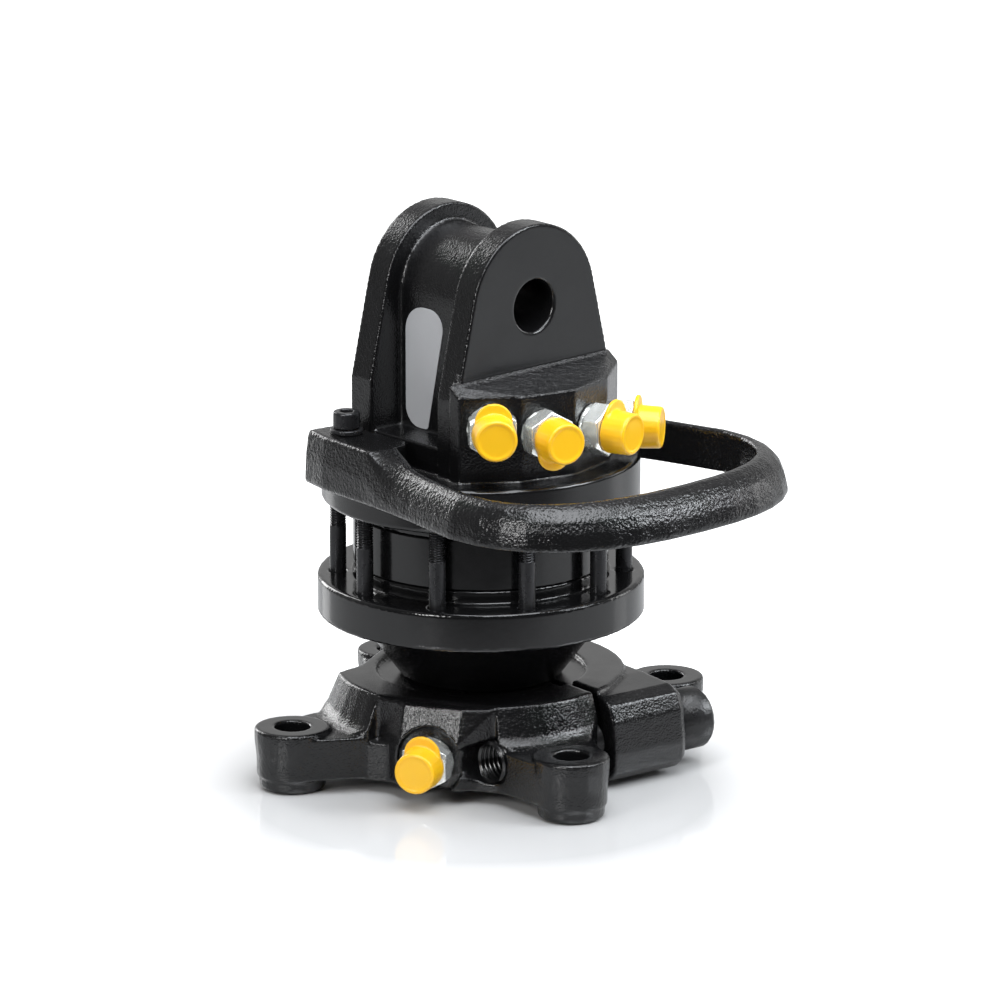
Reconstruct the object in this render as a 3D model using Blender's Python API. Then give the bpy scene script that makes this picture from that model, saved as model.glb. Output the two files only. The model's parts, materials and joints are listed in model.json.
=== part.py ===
# Hydraulic rotator with a clevis head, a cast hose guard and a split clamp flange.
# Metres, +Z up along the rotation axis. The feet stand on z = 0 and the port side faces -Y.
# The clamp flange is turned about the axis against the head, as a rotator can stop anywhere.
import math

import bmesh
import bpy
from mathutils import Matrix, Vector

mm = 0.001
ROUND = 48
MID_ROUND = 24
SMALL_ROUND = 16
HOLE_ROUND = 10
CAP_ROUND = 24

# Running and seating gaps
SEAT = 0.3 * mm
FIT = 0.3 * mm
EMBED = 1.0 * mm
WELDS = (0.0005 * mm, 0.002 * mm, 0.006 * mm, 0.02 * mm)

# Heights of the stack, counted up from the feet
PLATE_BOTTOM = 6.0 * mm
PLATE_TOP = 27.0 * mm
LUG_HEIGHT = 30.0 * mm
HUB_HEIGHT = 47.0 * mm
COVER_BOTTOM = HUB_HEIGHT + 29.0 * mm
COVER_THICKNESS = 19.0 * mm
SPIGOT_HEIGHT = 6.5 * mm
STATOR_HEIGHT = 24.5 * mm
DISC_THICKNESS = 22.0 * mm
COVER_TOP = COVER_BOTTOM + COVER_THICKNESS
STATOR_BOTTOM = COVER_TOP + SPIGOT_HEIGHT
STATOR_TOP = STATOR_BOTTOM + STATOR_HEIGHT
DISC_BOTTOM = STATOR_TOP + SPIGOT_HEIGHT
DISC_TOP = DISC_BOTTOM + DISC_THICKNESS

# Radii, counted outwards from the main journal
JOURNAL_R = 28.5 * mm
HUB_SHAFT_R = JOURNAL_R - 1.5 * mm
UPPER_JOURNAL_R = JOURNAL_R - 6.5 * mm
ROTOR_R = JOURNAL_R + 14.5 * mm
CAM_LAND_R = ROTOR_R + 2.0 * mm
CAM_LIFT = 5.0 * mm
ORING_CENTRE_R = CAM_LAND_R + CAM_LIFT + 3.4 * mm
SPIGOT_R = ORING_CENTRE_R + 7.6 * mm
BOLT_CIRCLE_R = SPIGOT_R + 7.2 * mm
DISC_R = BOLT_CIRCLE_R + 7.8 * mm
COVER_R = BOLT_CIRCLE_R + 9.8 * mm
NECK_TOP_R = SPIGOT_R + 0.5 * mm
NECK_BASE_R = JOURNAL_R + 10.2 * mm
RIM_CHAMFER = 1.0 * mm

# Through bolts, M8, ten on the bolt circle
BOLT_COUNT = 10
BOLT_R = 4.0 * mm
BOLT_HEAD_R = 6.5 * mm
BOLT_HEAD_H = 8.0 * mm
BOLT_KEY = 6.0 * mm
BOLT_GRIP = 9.0 * mm
BOLT_HOLE_CLEARANCE = 0.4 * mm
BOLT_PHASE = math.radians(-114.5)
SOCKET_SHARE = 0.45
TIP_BEVEL = 0.15
HEAD_BEVEL = 0.08

# Clevis head, its heights counted up from the disc
PIN_HEIGHT = DISC_TOP + 77.0 * mm
PIN_BORE_R = 12.5 * mm
PIN_CHAMFER = 0.8 * mm
EAR_R = PIN_BORE_R + 26.8 * mm
EAR_T = 14.0 * mm
HEAD_DEPTH = 74.0 * mm
WEB_HALF = PIN_BORE_R + 18.0 * mm
EAR_BASE_HALF = WEB_HALF + 19.1 * mm
EAR_FLARE_BOTTOM = DISC_TOP + 38.5 * mm
RECESS_FLOOR = DISC_TOP + 13.5 * mm

# Port block on the front of the head
PORT_BLOCK_TOP = DISC_TOP + 42.0 * mm
PORT_LEDGE_TOP = PORT_BLOCK_TOP + 5.0 * mm
PORT_BLOCK_HALF = EAR_BASE_HALF + 2.0 * mm
PORT_BLOCK_BACK = HEAD_DEPTH / 2 - 4.0 * mm
FACET_DISTANCE = HEAD_DEPTH / 2 + 26.0 * mm
PORT_ANGLES = [math.radians(a) for a in (-36.5, -14.5, 14.5, 36.5)]
THROUGH_PORTS = (PORT_ANGLES[0], PORT_ANGLES[-1])
PORT_DROPS = (15.0 * mm, 19.0 * mm, 21.5 * mm, 27.0 * mm)
PORT_HEIGHTS = [PORT_BLOCK_TOP - drop for drop in PORT_DROPS]
PORT_SHIFTS = (-2.6 * mm, -1.8 * mm, -3.6 * mm, -0.5 * mm)
PORT_THREAD_R = 8.3 * mm
PORT_THREAD_DEPTH = 13.0 * mm
GALLERY_R = 3.0 * mm

# Adapter and dust cap, G3/8 size
SHOULDER_T = 1.6 * mm
SHOULDER_R = 11.6 * mm
HEX_AF = 22.0 * mm
HEX_T = 9.5 * mm
HEX_FACE = 0.97
HEX_BEVEL = 0.45
TAIL_LENGTH = 11.0 * mm
TIP_LENGTH = 11.2 * mm
ADAPTER_BORE_R = 5.0 * mm
CAP_WALL = 1.7 * mm
CAP_TAPER = 0.5 * mm
CAP_EDGE = 0.8 * mm
CAP_RIM = 1.6 * mm
CAP_DISH = 0.5 * mm
TIP_CHAMFER = 0.6 * mm
TAB_R = 9.0 * mm
TAB_OFFSET = 6.3 * mm
TAB_T = 2.0 * mm
CAP_TABS = [math.radians(a) for a in (0.0, 180.0, -20.0, 0.0)]

# Hose guard: inner wall of the loop as (forward, across) with the width there and the block's share
GUARD_BLOCK_INNER = EAR_BASE_HALF + 0.8 * mm
GUARD_REAR = 42.0 * mm
GUARD_ARM = [(-GUARD_REAR, 5.6 * mm, 17.0 * mm, 1.0), (-26.0 * mm, 8.1 * mm, 18.5 * mm, 1.0),
             (-8.0 * mm, 9.6 * mm, 19.0 * mm, 1.0), (9.0 * mm, 11.4 * mm, 19.0 * mm, 1.0),
             (20.0 * mm, 15.6 * mm, 17.0 * mm, 0.55), (31.0 * mm, 20.0 * mm, 14.0 * mm, 0.12),
             (44.0 * mm, 23.6 * mm, 12.6 * mm, 0.0), (61.0 * mm, 27.4 * mm, 12.4 * mm, 0.0)]
GUARD_CORNER_START = 80.0 * mm
GUARD_CORNER_HALF = GUARD_BLOCK_INNER + 31.4 * mm
GUARD_CORNER_DEPTH = 55.4 * mm
GUARD_CORNER_POWER = 0.8
GUARD_CORNER_STEPS = 9
GUARD_ARM_WIDTH = 12.4 * mm
GUARD_BAR_WIDTH = 17.0 * mm
GUARD_BOTTOM = DISC_TOP - 11.5 * mm
GUARD_BAR_HEIGHT = 20.2 * mm
GUARD_BLOCK_HEIGHT = 25.5 * mm
GUARD_RISE = 1.5 * mm
GUARD_BLOCK_TOP = GUARD_BOTTOM + GUARD_BLOCK_HEIGHT
GUARD_PAD = [(-39.0 * mm, 0.0), (2.0 * mm, 0.0), (7.5 * mm, 5.0 * mm), (8.0 * mm, 20.0 * mm),
             (-39.0 * mm, 14.0 * mm)]
GUARD_PAD_STEP = 0.4 * mm
GUARD_PAD_RISE = 4.0 * mm
GUARD_SCREW = (EAR_BASE_HALF + 12.0 * mm, 27.0 * mm)
WASHER_R = 8.0 * mm
WASHER_T = 2.2 * mm
GUARD_SCREW_GRIP = 10.5 * mm

# Section of the guard as shares of its width, from the inner wall out, and of its height
BAR_SECTION = ((0.0, 0.0), (0.0, 0.93), (0.08, 1.0), (0.28, 1.0), (0.54, 0.9), (0.77, 0.7), (0.92, 0.43),
               (1.0, 0.16), (1.0, 0.05), (0.95, 0.0))
BLOCK_SECTION = ((0.0, 0.0), (0.0, 0.95), (0.05, 1.0), (0.3, 1.0), (0.6, 1.0), (0.82, 1.0), (0.88, 0.95),
                 (0.98, 0.5), (1.0, 0.05), (0.95, 0.0))

# Vane motor
VANE_COUNT = 6
VANE_T = 4.6 * mm
VANE_SLOT_R = JOURNAL_R + 1.5 * mm
VANE_NOSE = 1.2 * mm
VANE_SPRING_T = 0.8 * mm
VANE_SPRING_MARGIN = 2.0 * mm
VANE_SPRING_HALF = 1.6 * mm
VANE_SPRING_STEPS = 8
ROTOR_CLEARANCE = 0.2 * mm
THRUST_CLEARANCE = 0.1 * mm
THRUST_T = 2.5 * mm
THRUST_OUTER_R = ROTOR_R - 3.0 * mm
UPPER_THRUST_OUTER_R = UPPER_JOURNAL_R + 13.0 * mm
DOWEL_R = 2.0 * mm
DOWEL_CIRCLE_R = SPIGOT_R - 3.0 * mm
DOWEL_GRIP = 5.0 * mm
DOWEL_ANGLE = math.radians(45.0)
ORING_R = 0.95 * mm

# Shaft and its bearings
SHAFT_END = 0.0
SHAFT_TOP = DISC_TOP + 24.0 * mm
NECK_BOTTOM = HUB_HEIGHT - 1.5 * mm
BUSH_WALL = 2.9 * mm
LOWER_BUSH_BOTTOM = NECK_BOTTOM + 12.5 * mm
LOWER_BUSH_TOP = STATOR_BOTTOM - 9.5 * mm
UPPER_BUSH_TOP = DISC_TOP - 3.5 * mm
UNION_BORE_TOP = SHAFT_TOP + 12.5 * mm
UNION_BORE_CLEARANCE = 0.8 * mm
SEAL_POCKET_WALL = 7.2 * mm
SHAFT_SEAL_H = 8.5 * mm
UNION_SEAL_H = 3.0 * mm
UNION_SEAL_DEPTH = 2.5 * mm
UNION_SEAL_LAND = 1.3 * mm
SPLINE_TEETH = 16
SPLINE_DEPTH = 1.4 * mm
SPLINE_TOP = 14.0 * mm
SHAFT_GALLERY_X = 12.0 * mm
SHAFT_GALLERY_R = 3.6 * mm
CROSS_GALLERY_R = 2.4 * mm
PLUG_LENGTH = 9.0 * mm
MOTOR_GALLERY_R = ROTOR_R + 2.5 * mm
LINE_GROOVE_HALF = 3.0 * mm
UNION_GROOVE_HALF = 2.5 * mm
LINE_GROOVE_DEPTH = 2.0 * mm
LINE_HEIGHTS = (22.0 * mm, 34.0 * mm)
HUB_ORING_HEIGHTS = (17.0 * mm, 28.0 * mm, 39.5 * mm)
HUB_ORING_H = 2.0 * mm
CLIP_T = 2.2 * mm
CLIP_DEPTH = 1.8 * mm
CLIP_OUTER_R = HUB_SHAFT_R + 4.5 * mm
CLIP_GAP = 6.0 * mm

# Clamp flange
FLANGE_TURN = math.radians(-62.7)
LUG_PITCH = 140.0 * mm
LUG_TOP_R = 18.2 * mm
LUG_FOOT_R = 15.8 * mm
LUG_BOLT_R = 8.5 * mm
LUG_FACE_STEP = 0.8 * mm
LUG_FOOT_BEVEL = 1.5 * mm
LUG_SKIRT = 3.0 * mm
PLATE_STEP = 0.3 * mm
ARM_R = 17.2 * mm
ARM_STEP = 0.4 * mm
PLATE_HALF = LUG_PITCH / 2 - 2.0 * mm
WAIST_HALF = PLATE_HALF - 35.0 * mm
HUB_TOP_R = 68.4 * mm
HUB_FLANK = ((74.2 * mm, 32.5 * mm), (76.8 * mm, 29.6 * mm), (81.0 * mm, 27.4 * mm))
HUB_RECESS_R = HUB_TOP_R - 18.4 * mm
HUB_RECESS_FLOOR = HUB_HEIGHT - 2.8 * mm

# Port bosses and side pocket of the flange, as (out from the axis, along the side)
FLANGE_PORT_HEIGHT = 20.0 * mm
PORT_BOSS_SEAT = PLATE_HALF + 1.4 * mm
PORT_BOSS_FRONT = PORT_BOSS_SEAT + 4.4 * mm
PORT_BOSS_TOP = PORT_BOSS_SEAT - 1.8 * mm
PORT_BOSS_FLAT = 14.5 * mm
PORT_BOSS_SIDE = (62.5 * mm, 29.5 * mm)
PORT_BOSS_FLARE = (82.0 * mm, 40.0 * mm)
PORT_BOSS_BREAK = 30.0 * mm
FLANGE_SPOTFACE_R = 16.5 * mm
SIDE_POCKET = ((55.0 * mm, 17.0 * mm), (60.6 * mm, 30.6 * mm), (95.0 * mm, 38.0 * mm))
SIDE_POCKET_FLOOR = PLATE_TOP + 1.0 * mm

# Clamp bolt, M20, across the slot
CLAMP_DIRECTION = math.radians(-123.0)
CLAMP_OFFSET = 60.0 * mm
CLAMP_HEIGHT = 21.0 * mm
CLAMP_R = 10.0 * mm
CLAMP_CLEARANCE = 0.5 * mm
CLAMP_HEAD_R = 15.0 * mm
CLAMP_HEAD_H = 20.0 * mm
CLAMP_SEAT = 64.0 * mm
CLAMP_LENGTH = 90.0 * mm
CLAMP_KEY = 17.0 * mm
CLAMP_BLOCK = ((-30.0 * mm, -17.0 * mm), (15.0 * mm, -17.0 * mm), (19.0 * mm, -13.0 * mm),
               (20.0 * mm, -3.0 * mm), (18.4 * mm, 12.0 * mm), (15.0 * mm, 20.0 * mm),
               (9.0 * mm, 23.0 * mm), (-12.0 * mm, 24.0 * mm), (-30.0 * mm, 24.0 * mm))
CLAMP_BLOCK_CHAMFER = 4.0 * mm
CLAMP_END_SHARE = 0.88
SLOT_OFFSET = 17.5 * mm
SLOT_WIDTH = 3.5 * mm


def material(name, colour, roughness, metallic):
    """A plain shader with the finish of one kind of piece."""
    result = bpy.data.materials.new(name)
    result.use_nodes = True
    shader = result.node_tree.nodes["Principled BSDF"]
    shader.inputs["Base Color"].default_value = (*colour, 1.0)
    shader.inputs["Roughness"].default_value = roughness
    shader.inputs["Metallic"].default_value = metallic
    return result


def add_object(name, shape, finish):
    """Turn a bmesh into a named object with one material."""
    bmesh.ops.recalc_face_normals(shape, faces=shape.faces)
    mesh = bpy.data.meshes.new(name)
    shape.to_mesh(mesh)
    shape.free()
    item = bpy.data.objects.new(name, mesh)
    bpy.context.scene.collection.objects.link(item)
    if finish is not None:
        mesh.materials.append(finish)
    return item


def lathe(profile, segments=ROUND):
    """Revolve a closed outline of (radius, height) points about Z."""
    shape = bmesh.new()
    loop = [shape.verts.new((r, 0.0, z)) for r, z in profile]
    edges = [shape.edges.new((loop[i - 1], loop[i])) for i in range(len(loop))]
    bmesh.ops.spin(shape, geom=loop + edges, axis=(0, 0, 1), cent=(0, 0, 0),
                   angle=2 * math.pi, steps=segments, use_merge=True, use_duplicate=False)
    bmesh.ops.remove_doubles(shape, verts=shape.verts, dist=1e-7)
    bmesh.ops.dissolve_degenerate(shape, edges=shape.edges, dist=1e-7)
    bmesh.ops.recalc_face_normals(shape, faces=shape.faces)
    return shape


def ring_profile(inner, outer, bottom, top, chamfer=0.0):
    """Section of a ring or, with inner = 0, of a plain disc."""
    if chamfer == 0.0:
        return [(outer, top), (outer, bottom), (inner, bottom), (inner, top)]
    return [(outer - chamfer, top), (outer, top - chamfer), (outer, bottom + chamfer),
            (outer - chamfer, bottom), (inner, bottom), (inner, top)]


def cylinder(radius, bottom, top, segments=SMALL_ROUND):
    """A solid round bar along Z."""
    shape = bmesh.new()
    bmesh.ops.create_cone(shape, cap_ends=True, segments=segments, radius1=radius,
                          radius2=radius, depth=top - bottom)
    bmesh.ops.translate(shape, verts=shape.verts, vec=(0, 0, (top + bottom) / 2))
    return shape


def prism(outline, bottom, top):
    """Extrude a flat outline of (x, y) points; top may be one height or one for each point."""
    shape = bmesh.new()
    tops = top if isinstance(top, (list, tuple)) else [top] * len(outline)
    lower = [shape.verts.new((x, y, bottom)) for x, y in outline]
    upper = [shape.verts.new((x, y, z)) for (x, y), z in zip(outline, tops)]
    shape.faces.new(list(reversed(lower)))
    shape.faces.new(upper)
    for i in range(len(outline)):
        shape.faces.new((lower[i - 1], lower[i], upper[i], upper[i - 1]))
    if min(tops) != max(tops):
        bmesh.ops.triangulate(shape, faces=[f for f in shape.faces if len(f.verts) > 4])
    bmesh.ops.recalc_face_normals(shape, faces=shape.faces)
    return shape


def box(x0, x1, y0, y1, z0, z1):
    """A block between two corners."""
    return prism([(x0, y0), (x1, y0), (x1, y1), (x0, y1)], z0, z1)


def moved(shape, matrix):
    """Place a shape by a matrix and keep its faces pointing out."""
    bmesh.ops.transform(shape, matrix=matrix, verts=shape.verts)
    bmesh.ops.recalc_face_normals(shape, faces=shape.faces)
    return shape


def turned(angle):
    """Rotation about the main axis."""
    return Matrix.Rotation(angle, 4, "Z")


def pointing(origin, direction):
    """Frame with local Z along a level direction and local Y up."""
    z = Vector(direction).normalized()
    y = Vector((0, 0, 1))
    x = y.cross(z)
    frame = Matrix((x, y, z)).transposed().to_4x4()
    frame.translation = Vector(origin)
    return frame


def loft(sections):
    """Closed solid through rings of (x, y) points, each at its own height."""
    shape = bmesh.new()
    rings = [[shape.verts.new((x, y, z)) for x, y in points] for points, z in sections]
    for first, second in zip(rings, rings[1:]):
        for i in range(len(first)):
            shape.faces.new((first[i - 1], first[i], second[i], second[i - 1]))
    shape.faces.new(rings[0])
    shape.faces.new(rings[-1])
    return shape


def open_edges(shape):
    return [edge for edge in shape.edges if len(edge.link_faces) == 1]


def split_at_seams(shape, distance):
    """Split each open edge where a neighbour's corner lies on it."""
    corners = {corner for edge in open_edges(shape) for corner in edge.verts}
    for corner in corners:
        for edge in open_edges(shape):
            start, end = edge.verts
            run = end.co - start.co
            if corner in (start, end) or run.length < distance:
                continue
            share = (corner.co - start.co).dot(run) / run.length_squared
            off = (start.co + run * share - corner.co).length
            if off < distance and distance < share * run.length < run.length - distance:
                bmesh.utils.edge_split(edge, start, share)
                break
    bmesh.ops.remove_doubles(shape, verts=shape.verts, dist=distance)


def close_seams(mesh):
    """Weld the near-double points that a cut leaves, by the least distance that closes it."""
    for distance in WELDS:
        shape = bmesh.new()
        shape.from_mesh(mesh)
        bmesh.ops.remove_doubles(shape, verts=shape.verts, dist=distance)
        if open_edges(shape):
            split_at_seams(shape, distance * 4)
        closed = all(len(edge.link_faces) == 2 for edge in shape.edges)
        if closed:
            shape.to_mesh(mesh)
        shape.free()
        if closed:
            return


def combine(item, shape, operation):
    """Add or cut one closed shape, and keep the result as plain mesh."""
    tool = add_object("tool", shape, None)
    change = item.modifiers.new("change", "BOOLEAN")
    change.operation = operation
    change.solver = "EXACT"
    change.object = tool
    bpy.context.view_layer.update()
    graph = bpy.context.evaluated_depsgraph_get()
    result = bpy.data.meshes.new_from_object(item.evaluated_get(graph))
    item.modifiers.clear()
    close_seams(result)
    item.data = result
    bpy.data.objects.remove(tool)
    return item


def add(item, shape):
    return combine(item, shape, "UNION")


def cut(item, shape):
    return combine(item, shape, "DIFFERENCE")


def keep_inside(item, shape):
    return combine(item, shape, "INTERSECT")


def spread(item, names, matrices):
    """Place an object and its copies, which share one mesh."""
    for name, matrix in zip(names[1:], matrices[1:]):
        other = bpy.data.objects.new(name, item.data)
        other.matrix_world = matrix
        bpy.context.scene.collection.objects.link(other)
    item.name = names[0]
    item.matrix_world = matrices[0]


def arc(centre, radius, start, end, count):
    """Points on an arc, both ends included."""
    step = (end - start) / count
    return [(centre[0] + radius * math.cos(start + step * i),
             centre[1] + radius * math.sin(start + step * i)) for i in range(count + 1)]


def ear_outline():
    """Outline of an ear in (x, z): round top, flared sides, upright foot."""
    drop = PIN_HEIGHT - EAR_FLARE_BOTTOM
    reach = math.hypot(EAR_BASE_HALF, drop)
    lean = math.acos(EAR_R / reach) - math.atan2(drop, EAR_BASE_HALF)
    bottom = DISC_TOP - EMBED
    points = [(-EAR_BASE_HALF, bottom), (EAR_BASE_HALF, bottom), (EAR_BASE_HALF, EAR_FLARE_BOTTOM)]
    points += arc((0.0, PIN_HEIGHT), EAR_R, lean, math.pi - lean, MID_ROUND)
    points.append((-EAR_BASE_HALF, EAR_FLARE_BOTTOM))
    return points


def standing(outline, back, front):
    """Extrude an outline of (x, z) points along Y."""
    shape = prism(outline, back, front)
    return moved(shape, Matrix(((1, 0, 0, 0), (0, 0, 1, 0), (0, 1, 0, 0), (0, 0, 0, 1))))


def web_outline():
    """The narrower web between the ears, round over the pin bore."""
    bottom = RECESS_FLOOR - EMBED
    points = [(-WEB_HALF, bottom), (WEB_HALF, bottom)]
    return points + arc((0.0, PIN_HEIGHT), WEB_HALF, 0.0, math.pi, 26)


def port_direction(angle):
    """Level unit vector of a port, counted from the front of the head."""
    return Vector((math.sin(angle), -math.cos(angle), 0.0))


def port_place(angle, distance, shift, height):
    """Point on the axis of a port, which is shifted along its facet."""
    sideways = Vector((math.cos(angle), math.sin(angle), 0.0))
    return port_direction(angle) * distance + sideways * shift + Vector((0, 0, height))


def port_block_outline():
    """Plan of the faceted block: one flat for each port, square to the port."""
    corners = []
    for first, second in zip(PORT_ANGLES, PORT_ANGLES[1:]):
        middle = (first + second) / 2
        reach = FACET_DISTANCE / math.cos((second - first) / 2)
        corners.append((reach * math.sin(middle), -reach * math.cos(middle)))
    outer = PORT_ANGLES[-1]
    half = PORT_BLOCK_HALF
    edge_y = -(FACET_DISTANCE - half * math.sin(outer)) / math.cos(outer)
    return ([(-half, -PORT_BLOCK_BACK), (-half, edge_y)] + corners
            + [(half, edge_y), (half, -PORT_BLOCK_BACK)])


def build_head(paint):
    """Upper cover, clevis ears and port block in one casting."""
    neck = ring_profile(0.0, DISC_R, DISC_BOTTOM, DISC_TOP, RIM_CHAMFER)
    item = add_object("head_casting", lathe(neck), paint)
    add(item, cylinder(SPIGOT_R, STATOR_TOP + SEAT, DISC_BOTTOM + EMBED, ROUND))
    half = HEAD_DEPTH / 2
    for back in (-half, half - EAR_T):
        add(item, standing(ear_outline(), back, back + EAR_T))
    add(item, standing(web_outline(), -half + EAR_T - EMBED, half - EAR_T + EMBED))
    inset = EAR_BASE_HALF - 2 * EMBED
    add(item, box(-inset, inset, -half + EMBED, half - EMBED, DISC_TOP - EMBED, RECESS_FLOOR))
    outline = port_block_outline()
    tops = [PORT_LEDGE_TOP] + [PORT_BLOCK_TOP] * (len(outline) - 2) + [PORT_LEDGE_TOP]
    add(item, prism(outline, DISC_TOP - EMBED, tops))
    cut_head_bores(item)
    return item


def cut_head_bores(item):
    """Pin bore, ports, bearing bore, bolt holes and oil ways of the head."""
    half = HEAD_DEPTH / 2
    pin = [(PIN_BORE_R + PIN_CHAMFER + EMBED, -half - EMBED), (PIN_BORE_R, -half + PIN_CHAMFER),
           (PIN_BORE_R, half - PIN_CHAMFER), (PIN_BORE_R + PIN_CHAMFER + EMBED, half + EMBED),
           (0.0, half + EMBED), (0.0, -half - EMBED)]
    cut(item, moved(lathe(pin, MID_ROUND), pointing((0, 0, PIN_HEIGHT), (0, -1, 0))))
    bush_r = UPPER_JOURNAL_R + FIT + BUSH_WALL + FIT
    union_r = UPPER_JOURNAL_R + UNION_BORE_CLEARANCE
    thrust_r = UPPER_THRUST_OUTER_R + FIT
    floor = STATOR_TOP + SEAT + THRUST_T
    bore = [(thrust_r, STATOR_TOP - EMBED), (thrust_r, floor), (bush_r, floor),
            (bush_r, UPPER_BUSH_TOP + SEAT), (union_r, UPPER_BUSH_TOP + SEAT),
            (union_r, UNION_BORE_TOP), (0.0, UNION_BORE_TOP), (0.0, STATOR_TOP - EMBED)]
    cut(item, lathe(bore, MID_ROUND))
    for angle, height, shift in zip(PORT_ANGLES, PORT_HEIGHTS, PORT_SHIFTS):
        way = port_direction(angle)
        frame = pointing(port_place(angle, FACET_DISTANCE, shift, height), way)
        port = [(PORT_THREAD_R, EMBED), (PORT_THREAD_R, -PORT_THREAD_DEPTH),
                (GALLERY_R, -PORT_THREAD_DEPTH - PORT_THREAD_R / 2)]
        end = -FACET_DISTANCE + (UPPER_JOURNAL_R - EMBED if angle in THROUGH_PORTS else MOTOR_GALLERY_R)
        port += [(GALLERY_R, end), (0.0, end), (0.0, EMBED)]
        cut(item, moved(lathe(port, SMALL_ROUND), frame))
        if angle not in THROUGH_PORTS:
            gallery = cylinder(GALLERY_R, STATOR_TOP - EMBED, height, HOLE_ROUND)
            cut(item, moved(gallery, Matrix.Translation(port_place(angle, MOTOR_GALLERY_R, shift, 0.0))))
    for place in bolt_places():
        hole = cylinder(BOLT_R + BOLT_HOLE_CLEARANCE, DISC_BOTTOM - EMBED,
                        DISC_BOTTOM + BOLT_GRIP + BOLT_HOLE_CLEARANCE, HOLE_ROUND)
        cut(item, moved(hole, Matrix.Translation(place)))
    for side in (-1, 1):
        x, y = side * GUARD_SCREW[0], GUARD_SCREW[1]
        hole = cylinder(BOLT_R + BOLT_HOLE_CLEARANCE, DISC_TOP - GUARD_SCREW_GRIP - EMBED,
                        DISC_TOP + EMBED, HOLE_ROUND)
        cut(item, moved(hole, Matrix.Translation((x, y, 0))))
    for place in dowel_places():
        hole = cylinder(DOWEL_R + FIT, STATOR_TOP - EMBED, STATOR_TOP + SEAT + DOWEL_GRIP + FIT, HOLE_ROUND)
        cut(item, moved(hole, Matrix.Translation(place)))


def bolt_places():
    step = 2 * math.pi / BOLT_COUNT
    return [Vector((BOLT_CIRCLE_R * math.cos(BOLT_PHASE + i * step),
                    BOLT_CIRCLE_R * math.sin(BOLT_PHASE + i * step), 0)) for i in range(BOLT_COUNT)]


def dowel_places():
    return [Vector((DOWEL_CIRCLE_R * math.cos(a), DOWEL_CIRCLE_R * math.sin(a), 0))
            for a in (DOWEL_ANGLE,)]


def build_stator(steel):
    """Cam ring of the vane motor, with a two-lobed bore."""
    outer = [(SPIGOT_R * math.cos(2 * math.pi * i / ROUND), SPIGOT_R * math.sin(2 * math.pi * i / ROUND))
             for i in range(ROUND)]
    cam = []
    for i in range(ROUND):
        angle = 2 * math.pi * i / ROUND
        radius = CAM_LAND_R + CAM_LIFT * math.sin(angle) ** 2
        cam.append((radius * math.cos(angle), radius * math.sin(angle)))
    bottom = STATOR_BOTTOM + SEAT
    top = STATOR_TOP
    item = add_object("stator_ring", prism(outer, bottom, top), steel)
    cut(item, prism(cam, bottom - EMBED, top + EMBED))
    groove = ORING_R + FIT
    for face, way in ((bottom, -1), (top, 1)):
        low, high = sorted((face - way * 2 * groove, face + way * EMBED))
        seat = ring_profile(ORING_CENTRE_R - groove, ORING_CENTRE_R + groove, low, high)
        cut(item, lathe(seat, MID_ROUND))
    for place in dowel_places():
        cut(item, moved(cylinder(DOWEL_R + FIT, bottom - EMBED, top + EMBED, HOLE_ROUND),
                        Matrix.Translation(place)))
    return item


def build_orings(rubber):
    """O-rings in the two faces of the cam ring."""
    places = {"stator_oring_lower": STATOR_BOTTOM + SEAT + ORING_R,
              "stator_oring_upper": STATOR_TOP - ORING_R}
    for name, height in places.items():
        section = arc((ORING_CENTRE_R, height), ORING_R, 0.0, 2 * math.pi * 5 / 6, 5)
        add_object(name, lathe(section, MID_ROUND), rubber)


def build_lower_cover(paint):
    """Lower cover with its ring flange and the conical neck round the shaft."""
    bush_r = JOURNAL_R + FIT + BUSH_WALL + FIT
    pocket_r = JOURNAL_R + SEAL_POCKET_WALL + 2 * FIT
    pocket_top = NECK_BOTTOM + SHAFT_SEAL_H + 2 * SEAT
    thrust_r = THRUST_OUTER_R + FIT
    thrust_floor = STATOR_BOTTOM - THRUST_T - SEAT
    profile = [(SPIGOT_R, STATOR_BOTTOM), (SPIGOT_R, COVER_TOP), (COVER_R - RIM_CHAMFER, COVER_TOP),
               (COVER_R, COVER_TOP - RIM_CHAMFER), (COVER_R, COVER_BOTTOM + RIM_CHAMFER),
               (COVER_R - RIM_CHAMFER, COVER_BOTTOM), (NECK_TOP_R, COVER_BOTTOM),
               (NECK_BASE_R, NECK_BOTTOM), (pocket_r, NECK_BOTTOM), (pocket_r, pocket_top),
               (JOURNAL_R + 2 * FIT, pocket_top), (JOURNAL_R + 2 * FIT, LOWER_BUSH_BOTTOM - SEAT),
               (bush_r, LOWER_BUSH_BOTTOM - SEAT), (bush_r, thrust_floor), (thrust_r, thrust_floor),
               (thrust_r, STATOR_BOTTOM)]
    item = add_object("lower_cover", lathe(profile), paint)
    seat = COVER_BOTTOM + BOLT_HEAD_H + EMBED
    for place in bolt_places():
        radius = BOLT_R + BOLT_HOLE_CLEARANCE
        well = BOLT_HEAD_R + BOLT_HOLE_CLEARANCE
        hole = [(radius, COVER_TOP + EMBED), (radius, seat), (well, seat), (well, COVER_BOTTOM - EMBED),
                (0.0, COVER_BOTTOM - EMBED), (0.0, COVER_TOP + EMBED)]
        cut(item, moved(lathe(hole, HOLE_ROUND), Matrix.Translation(place)))
    for place in dowel_places():
        hole = cylinder(DOWEL_R + FIT, STATOR_BOTTOM - DOWEL_GRIP - FIT, STATOR_BOTTOM + EMBED, HOLE_ROUND)
        cut(item, moved(hole, Matrix.Translation(place)))
    return item


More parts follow.
